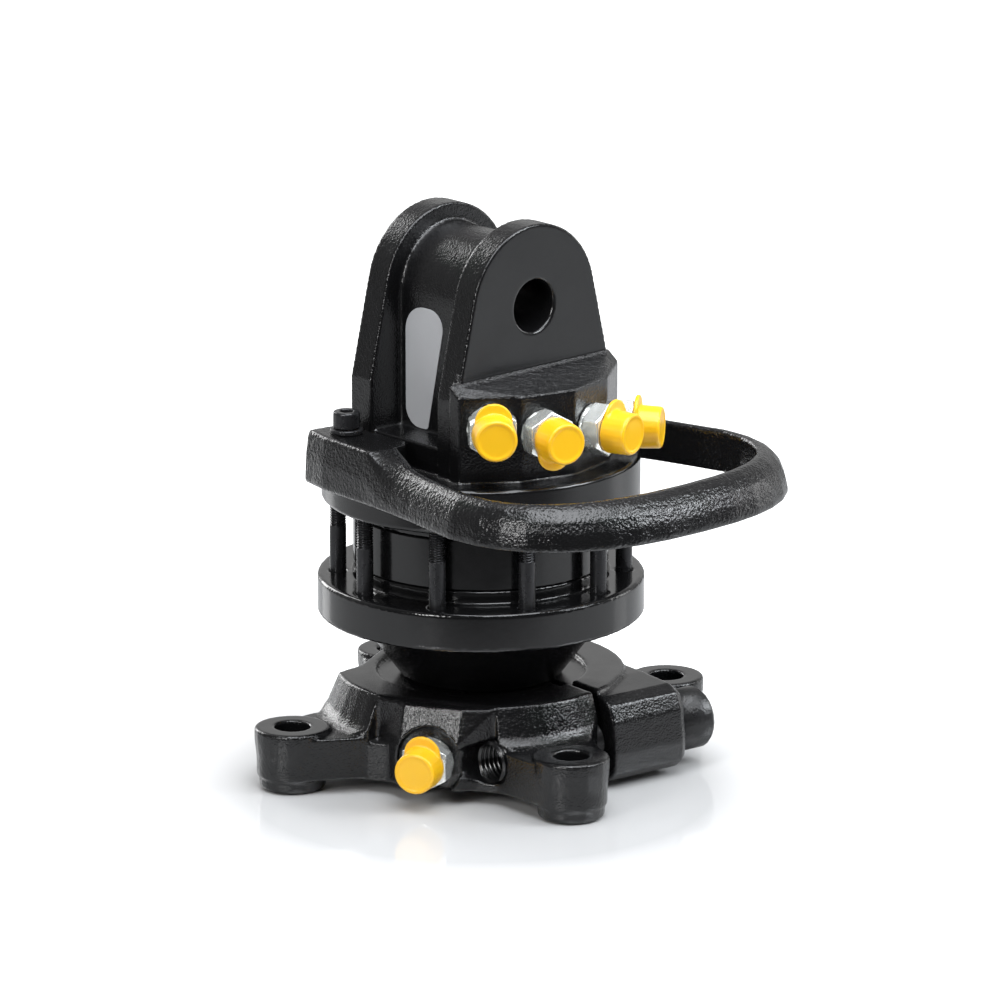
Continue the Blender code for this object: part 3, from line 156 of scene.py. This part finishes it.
def black_paint(name, roughness, layers, colour=(0.0042, 0.0042, 0.0045), spread=0.04, round_edges=0.0):
    """Black gloss paint over iron, bumped by layers of (grain, detail, strength, depth) in millimetres."""
    made, tree, shader = new_material(name)
    place = node(tree, "ShaderNodeTexCoord").outputs["Object"]
    shader.inputs["Base Color"].default_value = (*colour, 1.0)
    shader.inputs["IOR"].default_value = 1.5
    wear = noise(tree, 60.0, 4.0, 0.6, place)
    rough = ramp(tree, wear.outputs["Fac"], 0.3, 0.7, roughness - spread, roughness + spread)
    tree.links.new(rough, shader.inputs["Roughness"])
    heights = []
    for grain, detail, strength, depth in layers:
        peel = noise(tree, 1.0 / (grain * mm), detail, 0.5, place)
        heights.append((peel.outputs["Fac"], strength, depth * mm))
    bumped(tree, shader, heights, round_edges)
    return made


def metal(name, colour, roughness, metallic=1.0, grain=900.0, strength=0.05, spread=0.06):
    made, tree, shader = new_material(name)
    place = node(tree, "ShaderNodeTexCoord").outputs["Object"]
    shader.inputs["Metallic"].default_value = metallic
    tint = noise(tree, 45.0, 3.0, 0.5, place)
    mix = node(tree, "ShaderNodeMix", data_type="RGBA")
    mix.inputs["A"].default_value = (*[c * 0.9 for c in colour], 1.0)
    mix.inputs["B"].default_value = (*[min(1.0, c * 1.07) for c in colour], 1.0)
    tree.links.new(tint.outputs["Fac"], mix.inputs["Factor"])
    tree.links.new(mix.outputs["Result"], shader.inputs["Base Color"])
    rough = ramp(tree, noise(tree, 160.0, 3.0, 0.5, place).outputs["Fac"], 0.3, 0.7,
                 roughness - spread, roughness + spread)
    tree.links.new(rough, shader.inputs["Roughness"])
    fine = noise(tree, grain, 2.0, 0.5, place)
    bumped(tree, shader, [(fine.outputs["Fac"], strength, 0.0001)])
    return made


def plastic(name, colour, roughness):
    made, tree, shader = new_material(name)
    place = node(tree, "ShaderNodeTexCoord").outputs["Object"]
    mix = node(tree, "ShaderNodeMix", data_type="RGBA")
    mix.inputs["A"].default_value = (*colour, 1.0)
    mix.inputs["B"].default_value = (colour[0] * 1.05, colour[1] * 1.05, colour[2] * 1.2, 1.0)
    tree.links.new(noise(tree, 70.0, 2.0, 0.5, place).outputs["Fac"], mix.inputs["Factor"])
    tree.links.new(mix.outputs["Result"], shader.inputs["Base Color"])
    shader.inputs["Roughness"].default_value = roughness
    shader.inputs["IOR"].default_value = 1.5
    shader.inputs["Subsurface Weight"].default_value = 0.1
    shader.inputs["Subsurface Radius"].default_value = (0.004, 0.002, 0.0006)
    shader.inputs["Subsurface Scale"].default_value = 1.0
    peel = noise(tree, 500.0, 1.0, 0.4, place)
    bumped(tree, shader, [(peel.outputs["Fac"], 0.05, 0.0001)])
    return made


machined = black_paint("black_paint_machined", 0.2, [(2.5, 1.0, 0.3, 0.05)], round_edges=0.4 * mm)
cast = black_paint("black_paint_cast", 0.12, [(6.0, 2.0, 0.5, 0.4), (0.95, 2.0, 1.0, 0.26)])
welded = black_paint("black_paint_welded", 0.12, [(3.5, 2.0, 1.0, 1.2), (1.1, 2.0, 1.0, 0.8)])
rough_cast = black_paint("black_paint_rough_cast", 0.2, [(5.0, 2.0, 0.5, 0.5), (1.5, 2.0, 1.0, 0.45)])
gloss = black_paint("black_paint_gloss", 0.15, [(3.0, 1.0, 0.3, 0.06)], round_edges=0.25 * mm)
worn = black_paint("black_paint_worn", 0.3, [(1.2, 2.0, 0.8, 0.25)], (0.012, 0.012, 0.0125),
                   round_edges=0.6 * mm)
screw_black = metal("black_screw_steel", (0.03, 0.03, 0.032), 0.28, 0.6)
zinc = metal("zinc_plate", (0.8, 0.82, 0.79), 0.24, 0.75, 900.0, 0.02)
steel = metal("ground_steel", (0.55, 0.55, 0.56), 0.3)
bronze = metal("bearing_bronze", (0.55, 0.36, 0.16), 0.35)
rubber = black_paint("black_rubber", 0.6, [(1.1, 1.0, 0.1, 0.1)])
yellow = plastic("yellow_plastic", (0.8, 0.44, 0.0075), 0.32)
plate_silver = metal("blank_plate", (0.42, 0.425, 0.437), 0.5, 0.1, 300.0, 0.02, 0.03)

BY_SLOT = {
    "gloss_black_paint": gloss, "cast_black_paint": cast, "guard_black_paint": rough_cast,
    "black_screw_steel": screw_black, "zinc_plate": zinc, "yellow_plastic": yellow,
    "bearing_bronze": bronze, "black_rubber": rubber, "ground_steel": steel,
}
slot_of = {entry["node"]: entry["material_slot"] for entry in frame["record"]["subparts"]}
for name, item in nodes.items():
    item.data.materials.clear()
    item.data.materials.append(BY_SLOT[slot_of[name]])


# Shapes

def add_mesh(name, shape, finish, body):
    """Link a bmesh as a piece that moves with a body."""
    mesh = bpy.data.meshes.new(name)
    bmesh.ops.recalc_face_normals(shape, faces=shape.faces)
    shape.to_mesh(mesh)
    shape.free()
    item = bpy.data.objects.new(name, mesh)
    bpy.context.scene.collection.objects.link(item)
    mesh.materials.append(finish)
    mesh.shade_smooth()
    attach(item, body)
    return item


def modelled(item, kind, **values):
    change = item.modifiers.new(kind.lower(), kind)
    for key, value in values.items():
        setattr(change, key, value)
    return change


def applied(item):
    """Bake an object's modifiers into its mesh."""
    graph = bpy.context.evaluated_depsgraph_get()
    mesh = bpy.data.meshes.new_from_object(item.evaluated_get(graph))
    item.modifiers.clear()
    item.data = mesh
    return item


def copied(node_name, finish, extras=()):
    """A copy of a CAD node with its facets joined into one skin, and with extra solids beside it."""
    source = nodes[node_name]
    shape = bmesh.new()
    shape.from_mesh(source.data)
    bmesh.ops.remove_doubles(shape, verts=shape.verts, dist=1e-6)
    for extra in extras:
        mesh = bpy.data.meshes.new("extra")
        extra.to_mesh(mesh)
        extra.free()
        shape.from_mesh(mesh)
    item = add_mesh(node_name + "_surface", shape, finish, source["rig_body"])
    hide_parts(node_name)
    return item


def turned_copy(node_name, finish, crease=32.0):
    """A copy whose round faces shade smoothly and whose edges stay sharp."""
    item = copied(node_name, finish)
    item.data.set_sharp_from_angle(angle=math.radians(crease))
    return item


def cast_copy(node_name, voxel, rounds, finish, extras=()):
    """A copy of a cast or moulded node with its edges and corners rounded as the real one's are."""
    item = copied(node_name, finish, extras)
    modelled(item, "REMESH", mode="VOXEL", voxel_size=voxel, adaptivity=0.0, use_smooth_shade=True)
    modelled(item, "SMOOTH", factor=0.5, iterations=rounds)
    return applied(item)


def trued(item, radius, low, high):
    """Bring the facets of an upright round face out to their true circle."""
    for vertex in item.data.vertices:
        x, y, z = vertex.co
        across = math.hypot(x, y)
        if low < z < high and across > radius * FACET_REACH:
            vertex.co = (x * radius / across, y * radius / across, z)


def paint_faces(item, finish, test):
    """Give the faces that pass a test on centre and normal another finish."""
    item.data.materials.append(finish)
    index = len(item.data.materials) - 1
    for face in item.data.polygons:
        if test(face.center, face.normal):
            face.material_index = index


VOXEL = 0.8 * mm
FINE_VOXEL = 0.4 * mm

# Smoothing passes: more of them give rounder edges
ROUNDS = 5
COVER_ROUNDS = 2
CAP_ROUNDS = 14
ADAPTER_ROUNDS = 1

# Share of the radius beyond which a vertex belongs to a round face
FACET_REACH = 0.994

# Depth by which the edges of a trued face stay rounded
ROUNDED_EDGE = 1.2 * mm

# Faces of the head casting
DISC_R = 76.0 * mm
DISC_BOTTOM = 132.5 * mm
DISC_TOP = 154.5 * mm
PIN_HEIGHT = 231.5 * mm
PIN_BORE_R = 12.5 * mm
WEB_HALF = 30.5 * mm
EAR_OUTER = 37.0 * mm
RECESS_FLOOR = 168.0 * mm
FLARE_BOTTOM = 193.0 * mm
FLARE_TOP = 240.6 * mm
EAR_TOP_HALF = 38.2 * mm
EAR_BASE_HALF = 49.6 * mm
FILLET_BACK = 12.0 * mm
FILLET_FULL = 222.0 * mm
FILLET_POWER = 2.2


def ear_half(z):
    """Half width of an ear at a height."""
    share = min(1.0, max(0.0, (z - FLARE_BOTTOM) / (FLARE_TOP - FLARE_BOTTOM)))
    return EAR_BASE_HALF + (EAR_TOP_HALF - EAR_BASE_HALF) * share


def web_half(z):
    """Half width of the web, which is round over the pin."""
    return math.sqrt(WEB_HALF ** 2 - max(0.0, z - PIN_HEIGHT) ** 2)


def ear_fillet(side, levels=12, steps=8):
    """Solid that fills the corner between a side of the web and the front ear with one hollow sweep."""
    shape = bmesh.new()
    rings = []
    for k in range(levels + 1):
        z = RECESS_FLOOR - 2 * mm + (FLARE_TOP - RECESS_FLOOR + 2 * mm) * k / levels
        fade = min(1.0, (FLARE_TOP - z) / (FLARE_TOP - FILLET_FULL))
        web = web_half(z)
        reach = ear_half(z) - 0.2 * mm - web
        line = [(web - 4 * mm, -EAR_OUTER + 1 * mm), (web - 4 * mm, -FILLET_BACK)]
        for i in range(steps + 1):
            share = i / steps
            y = -FILLET_BACK + (FILLET_BACK - EAR_OUTER + 1 * mm) * share
            line.append((web - 0.4 * mm + reach * fade * share ** FILLET_POWER, y))
        rings.append([shape.verts.new((side * x, y, z)) for x, y in line])
    for first, second in zip(rings, rings[1:]):
        for i in range(len(first)):
            shape.faces.new((first[i - 1], first[i], second[i], second[i - 1]))
    shape.faces.new(rings[0])
    shape.faces.new(rings[-1])
    bmesh.ops.recalc_face_normals(shape, faces=shape.faces)
    return shape


head = cast_copy("head_casting", VOXEL, ROUNDS, cast, [ear_fillet(side) for side in (-1, 1)])
trued(head, DISC_R, DISC_BOTTOM + ROUNDED_EDGE, DISC_TOP - ROUNDED_EDGE)


def head_machined(centre, normal):
    """The ears' outer faces, the disc's rim and underside, and the pin bore."""
    x, y, z = centre
    across = math.hypot(x, y)
    if z > DISC_TOP + 44 * mm and abs(y) > EAR_OUTER - 0.6 * mm and abs(normal.y) > 0.9:
        return True
    if z < DISC_TOP + 3 * mm and across > DISC_R - 2 * mm:
        return True
    if z < DISC_BOTTOM + 1 * mm:
        return True
    return math.hypot(x, z - PIN_HEIGHT) < PIN_BORE_R + 2 * mm


def port_ledge(centre, normal):
    """The rough ledge between the front ear's face and the port block."""
    return centre.y < -33 * mm and 190 * mm < centre.z < 206 * mm and normal.z > 0.2


paint_faces(head, machined, head_machined)
paint_faces(head, welded, port_ledge)

# Faces of the clamp flange
HUB_HEIGHT = 47.0 * mm
LUG_HEIGHT = 30.0 * mm

flange = cast_copy("clamp_flange", VOXEL, ROUNDS, cast)


def flange_machined(centre, normal):
    """The top of the hub, the tops of the lugs and the underside."""
    x, y, z = centre
    if normal.z > 0.95 and z > HUB_HEIGHT - 3.5 * mm:
        return True
    if normal.z > 0.95 and abs(z - LUG_HEIGHT) < 0.8 * mm and math.hypot(x, y) > 80 * mm:
        return True
    return z < 0.6 * mm


paint_faces(flange, machined, flange_machined)

cast_copy("hose_guard", VOXEL, ROUNDS, rough_cast)
turned_copy("clamp_bolt", worn)

# Face of the lower cover
COVER_R = 78.0 * mm
COVER_BOTTOM = 76.0 * mm
COVER_TOP = 95.0 * mm

cover = cast_copy("lower_cover", VOXEL, COVER_ROUNDS, gloss)
trued(cover, COVER_R, COVER_BOTTOM + ROUNDED_EDGE, COVER_TOP - ROUNDED_EDGE)
paint_faces(cover, cast, lambda centre, normal: centre.z < COVER_BOTTOM - 0.5 * mm)


def turned_ring(outer, inner, bottom, top, edge, around=144):
    """Upright ring with its outer edges broken."""
    shape = bmesh.new()
    profile = [(inner, bottom), (outer - edge, bottom), (outer, bottom + edge), (outer, top - edge),
               (outer - edge, top), (inner, top)]
    rings = []
    for i in range(around):
        angle = 2 * math.pi * i / around
        rings.append([shape.verts.new((r * math.cos(angle), r * math.sin(angle), z)) for r, z in profile])
    for i in range(around):
        for k in range(len(profile)):
            shape.faces.new((rings[i - 1][k - 1], rings[i][k - 1], rings[i][k], rings[i - 1][k]))
    return shape


stator_low, stator_high = (Vector(corner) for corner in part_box("stator_ring"))
stator_shape = turned_ring(stator_high.x, stator_high.x - 7 * mm, stator_low.z, stator_high.z, 0.5 * mm)
stator = add_mesh("stator_ring_surface", stator_shape, gloss, HOUSING)
stator.data.set_sharp_from_angle(angle=math.radians(30))
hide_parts("stator_ring")

for name in sorted(nodes):
    if name.startswith("port_cap"):
        cast_copy(name, FINE_VOXEL, CAP_ROUNDS, yellow)
    elif name.startswith("port_adapter"):
        cast_copy(name, FINE_VOXEL, ADAPTER_ROUNDS, zinc)
    elif name.startswith(("guard_screw", "guard_washer")):
        cast_copy(name, FINE_VOXEL, ROUNDS, screw_black)


# Screw threads

# M8 through bolts
BOLT_COUNT = 10
BOLT_R = 4.0 * mm
BOLT_ROOT_R = 3.35 * mm
BOLT_PITCH = 1.25 * mm
BOLT_HEAD_R = 6.5 * mm
BOLT_HEAD_HEIGHT = 8.0 * mm
BOLT_THREAD_START = 117.5 * mm

# Exit hole of the M20 clamp bolt, with its ends counted along the bolt
CLAMP_OFFSET = 60.0 * mm
CLAMP_HEIGHT = 21.0 * mm
EXIT_R = 10.25 * mm
EXIT_ROOT_R = 8.7 * mm
EXIT_PITCH = 2.5 * mm
EXIT_START = 26.5 * mm
EXIT_END = 40.5 * mm


def threaded_rod(major, minor, pitch, bottom, top, around=24, rows_per_turn=6):
    """Side wall of a thread along Z, open at both ends."""
    shape = bmesh.new()
    rows = int((top - bottom) / pitch * rows_per_turn) + 1
    grid = []
    for k in range(rows + 1):
        z = bottom + (top - bottom) * k / rows
        line = []
        for i in range(around):
            angle = 2 * math.pi * i / around
            phase = (z / pitch - i / around) % 1.0
            share = 1.0 - abs(2.0 * phase - 1.0)
            share = min(1.0, max(0.0, share * 1.4 - 0.2))
            radius = minor + (major - minor) * share
            line.append(shape.verts.new((radius * math.cos(angle), radius * math.sin(angle), z)))
        grid.append(line)
    for first, second in zip(grid, grid[1:]):
        for i in range(around):
            shape.faces.new((first[i - 1], first[i], second[i], second[i - 1]))
    return shape


def bolt_shape(low, high):
    """Long screw with a smooth shank and threads under the head casting."""
    centre = (low + high) / 2
    head_top = low.z + BOLT_HEAD_HEIGHT
    shape = threaded_rod(BOLT_R, BOLT_ROOT_R, BOLT_PITCH, BOLT_THREAD_START, high.z)
    for bottom, top, radius in ((low.z, head_top, BOLT_HEAD_R), (head_top, BOLT_THREAD_START, BOLT_R)):
        made = bmesh.ops.create_cone(shape, cap_ends=True, segments=24, radius1=radius, radius2=radius,
                                     depth=top - bottom)
        bmesh.ops.translate(shape, verts=made["verts"], vec=(0, 0, (top + bottom) / 2))
    bmesh.ops.translate(shape, verts=shape.verts, vec=(centre.x, centre.y, 0))
    return shape


for i in range(BOLT_COUNT):
    name = f"through_bolt_{i + 1:02d}"
    low, high = (Vector(corner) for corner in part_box(name))
    bolt = add_mesh(name + "_thread", bolt_shape(low, high), screw_black, HOUSING)
    bolt.data.set_sharp_from_angle(angle=math.radians(50))
    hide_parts(name)


def clamp_frame():
    """Frame on the clamp bolt's line, turned with the flange, with Z along the bolt."""
    along = Vector((math.cos(CLAMP_DIRECTION), math.sin(CLAMP_DIRECTION), 0))
    foot = Matrix.Rotation(math.pi / 2, 4, "Z") @ along * CLAMP_OFFSET
    y = Vector((0, 0, 1))
    x = y.cross(along)
    local = Matrix((x, y, along)).transposed().to_4x4()
    local.translation = foot + Vector((0, 0, CLAMP_HEIGHT))
    return Matrix.Rotation(FLANGE_TURN, 4, "Z") @ local


hole_thread = threaded_rod(EXIT_R, EXIT_ROOT_R, EXIT_PITCH, EXIT_START, EXIT_END, around=40)
bmesh.ops.transform(hole_thread, matrix=clamp_frame(), verts=hole_thread.verts)
add_mesh("clamp_hole_thread", hole_thread, machined, ROTOR)


# Blank rating plate on the left side of the web

# Corners of the plate as (back, height, corner radius)
PLATE_CORNERS = ((19.1 * mm, 228.0 * mm, 12.5 * mm), (-8.6 * mm, 227.6 * mm, 9.0 * mm),
                 (3.8 * mm, 169.0 * mm, 2.0 * mm), (19.0 * mm, 168.6 * mm, 9.5 * mm))
PLATE_SHEET = 0.35 * mm


def rounded_outline(corners, steps=8):
    """Outline through corners that are rounded by arcs."""
    outline = []
    for i, (y, z, radius) in enumerate(corners):
        corner = Vector((y, z))
        before = (Vector(corners[i - 1][:2]) - corner).normalized()
        after = (Vector(corners[(i + 1) % len(corners)][:2]) - corner).normalized()
        middle = (before + after).normalized()
        half = before.angle(after) / 2
        centre = corner + middle * radius / math.sin(half)
        sweep = math.pi / 2 - half
        side = -before.cross(after) / abs(before.cross(after))
        for k in range(steps + 1):
            turn = side * sweep * (2 * k / steps - 1)
            outline.append(centre + Matrix.Rotation(turn, 2) @ (-middle) * radius)
    return outline


def rating_plate():
    """Thin sheet that stands out of the web's left face."""
    shape = bmesh.new()
    outline = rounded_outline(PLATE_CORNERS)
    inner = [shape.verts.new((-WEB_HALF + 0.2 * mm, y, z)) for y, z in outline]
    outer = [shape.verts.new((-WEB_HALF - PLATE_SHEET, y, z)) for y, z in outline]
    shape.faces.new(inner)
    shape.faces.new(outer)
    for i in range(len(outline)):
        shape.faces.new((inner[i - 1], inner[i], outer[i], outer[i - 1]))
    return shape


plate = add_mesh("rating_plate_blank", rating_plate(), plate_silver, HOUSING)
plate.data.set_sharp_from_angle(angle=math.radians(40))


# Stage

CAMERA_SIDE = Vector((CAMERA_PLACE[0], CAMERA_PLACE[1], 0)).normalized()

# Floor colour behind and under the object, and further ahead of it, where the front faces mirror it
FLOOR_PALE = 0.5
FLOOR_DARK = 0.07
DARK_START = 0.25
DARK_FULL = 0.42
FLOOR_SHINE = 0.15

# The floor as the camera sees it is shaded inside a ring, and white outside it and far ahead.
SHADE_AHEAD = 0.05
SHADE_INNER = 0.11
SHADE_OUTER = 0.215
WHITE_START = 0.2
WHITE_FULL = 0.32


def multiplied(tree, first, second):
    made = node(tree, "ShaderNodeMath", operation="MULTIPLY")
    tree.links.new(first, made.inputs[0])
    tree.links.new(second, made.inputs[1])
    return made.outputs["Value"]


def floor_material():
    """Floor that is darker ahead for the reflections, and that the camera sees as white round the shadow."""
    made, tree, shader = new_material("studio_floor")
    tree.nodes.remove(shader)
    output = tree.nodes["Material Output"]
    place = node(tree, "ShaderNodeTexCoord").outputs["Object"]
    from_centre = node(tree, "ShaderNodeVectorMath", operation="SUBTRACT")
    from_centre.inputs[1].default_value = CAMERA_SIDE * SHADE_AHEAD
    tree.links.new(place, from_centre.inputs[0])
    distance = node(tree, "ShaderNodeVectorMath", operation="LENGTH")
    tree.links.new(from_centre.outputs["Vector"], distance.inputs[0])
    ahead = node(tree, "ShaderNodeVectorMath", operation="DOT_PRODUCT")
    ahead.inputs[1].default_value = CAMERA_SIDE
    tree.links.new(place, ahead.inputs[0])
    pale = ramp(tree, ahead.outputs["Value"], DARK_START, DARK_FULL, FLOOR_PALE, FLOOR_DARK)
    diffuse = node(tree, "ShaderNodeBsdfDiffuse")
    tree.links.new(pale, diffuse.inputs["Color"])
    shine = node(tree, "ShaderNodeBsdfGlossy")
    shine.inputs["Color"].default_value = (1.0, 1.0, 1.0, 1.0)
    shine.inputs["Roughness"].default_value = 0.05
    mix = node(tree, "ShaderNodeMixShader")
    mix.inputs["Fac"].default_value = FLOOR_SHINE
    tree.links.new(diffuse.outputs["BSDF"], mix.inputs[1])
    tree.links.new(shine.outputs["BSDF"], mix.inputs[2])
    lift = node(tree, "ShaderNodeMath", operation="MAXIMUM")
    tree.links.new(ramp(tree, distance.outputs["Value"], SHADE_INNER, SHADE_OUTER), lift.inputs[0])
    tree.links.new(ramp(tree, ahead.outputs["Value"], WHITE_START, WHITE_FULL), lift.inputs[1])
    glow = node(tree, "ShaderNodeEmission")
    seen = node(tree, "ShaderNodeLightPath").outputs["Is Camera Ray"]
    tree.links.new(multiplied(tree, seen, lift.outputs["Value"]), glow.inputs["Strength"])
    both = node(tree, "ShaderNodeAddShader")
    tree.links.new(mix.outputs["Shader"], both.inputs[0])
    tree.links.new(glow.outputs["Emission"], both.inputs[1])
    tree.links.new(both.outputs["Shader"], output.inputs["Surface"])
    return made


shape = bmesh.new()
bmesh.ops.create_grid(shape, x_segments=1, y_segments=1, size=8.0)
floor_mesh = bpy.data.meshes.new("studio_floor")
shape.to_mesh(floor_mesh)
shape.free()
floor = bpy.data.objects.new("studio_floor", floor_mesh)
floor.location = (0, 0, -0.0002)
bpy.context.scene.collection.objects.link(floor)
floor_mesh.materials.append(floor_material())
floor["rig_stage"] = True


def softbox(name, azimuth, height, distance, size, radiance, tint=(1.0, 1.0, 1.0), aim=0.12):
    """Area light of a given brightness; azimuth is counted from the camera, positive to its right."""
    angle = math.radians(azimuth + CAMERA_TURN)
    place = Vector((distance * math.sin(angle), -distance * math.cos(angle), height))
    light = bpy.data.lights.new(name, "AREA")
    light.shape = "RECTANGLE"
    light.size, light.size_y = size
    light.energy = radiance * math.pi * size[0] * size[1]
    light.color = tint
    item = bpy.data.objects.new(name, light)
    item.location = place
    item.rotation_euler = (Vector((0, 0, aim)) - place).to_track_quat("-Z", "Y").to_euler()
    bpy.context.scene.collection.objects.link(item)
    return item


# Brightness of the room that the gloss mirrors, behind the object and on the camera's side
ROOM_BACK = 0.4
ROOM_FRONT = 0.08

softbox("top_box", 25.0, 1.5, 0.35, (1.15, 1.15), 7.0, (0.93, 0.96, 1.0))
softbox("high_front_box", 12.0, 1.6, 1.3, (0.9, 0.55), 8.0, (0.95, 0.97, 1.0))
softbox("high_right_box", 78.0, 1.25, 1.6, (0.7, 0.8), 15.5, (0.92, 0.96, 1.0))
softbox("front_left_box", -36.0, 0.95, 1.9, (0.45, 0.7), 18.0)
softbox("left_box", -140.0, 0.7, 1.6, (0.5, 1.3), 7.0)
softbox("right_box", 115.0, 0.5, 1.8, (0.5, 0.8), 3.0)
softbox("back_box", 175.0, 0.75, 2.4, (3.0, 0.9), 0.3)

world = bpy.data.worlds.new("studio")
world.use_nodes = True
tree = world.node_tree
background = tree.nodes["Background"]
background.inputs["Color"].default_value = (1.0, 1.0, 1.0, 1.0)
direction = node(tree, "ShaderNodeTexCoord").outputs["Generated"]
ahead = node(tree, "ShaderNodeVectorMath", operation="DOT_PRODUCT")
ahead.inputs[1].default_value = CAMERA_SIDE
tree.links.new(direction, ahead.inputs[0])
room = ramp(tree, ahead.outputs["Value"], -0.4, 0.5, ROOM_BACK, ROOM_FRONT)
seen = node(tree, "ShaderNodeLightPath").outputs["Is Camera Ray"]
level = node(tree, "ShaderNodeMath", operation="MAXIMUM")
tree.links.new(room, level.inputs[0])
tree.links.new(seen, level.inputs[1])
tree.links.new(level.outputs["Value"], background.inputs["Strength"])
bpy.context.scene.world = world

camera_data = bpy.data.cameras.new("camera")
camera_data.lens = CAMERA_LENS
camera_data.sensor_width = 36.0
camera_data.clip_end = 50.0
camera = bpy.data.objects.new("camera", camera_data)
camera.location = CAMERA_PLACE
camera.rotation_euler = (math.radians(90.0 - CAMERA_PITCH), 0.0, math.radians(CAMERA_TURN))
bpy.context.scene.collection.objects.link(camera)
bpy.context.scene.camera = camera
bpy.context.scene.view_settings.view_transform = "Standard"

low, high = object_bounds()
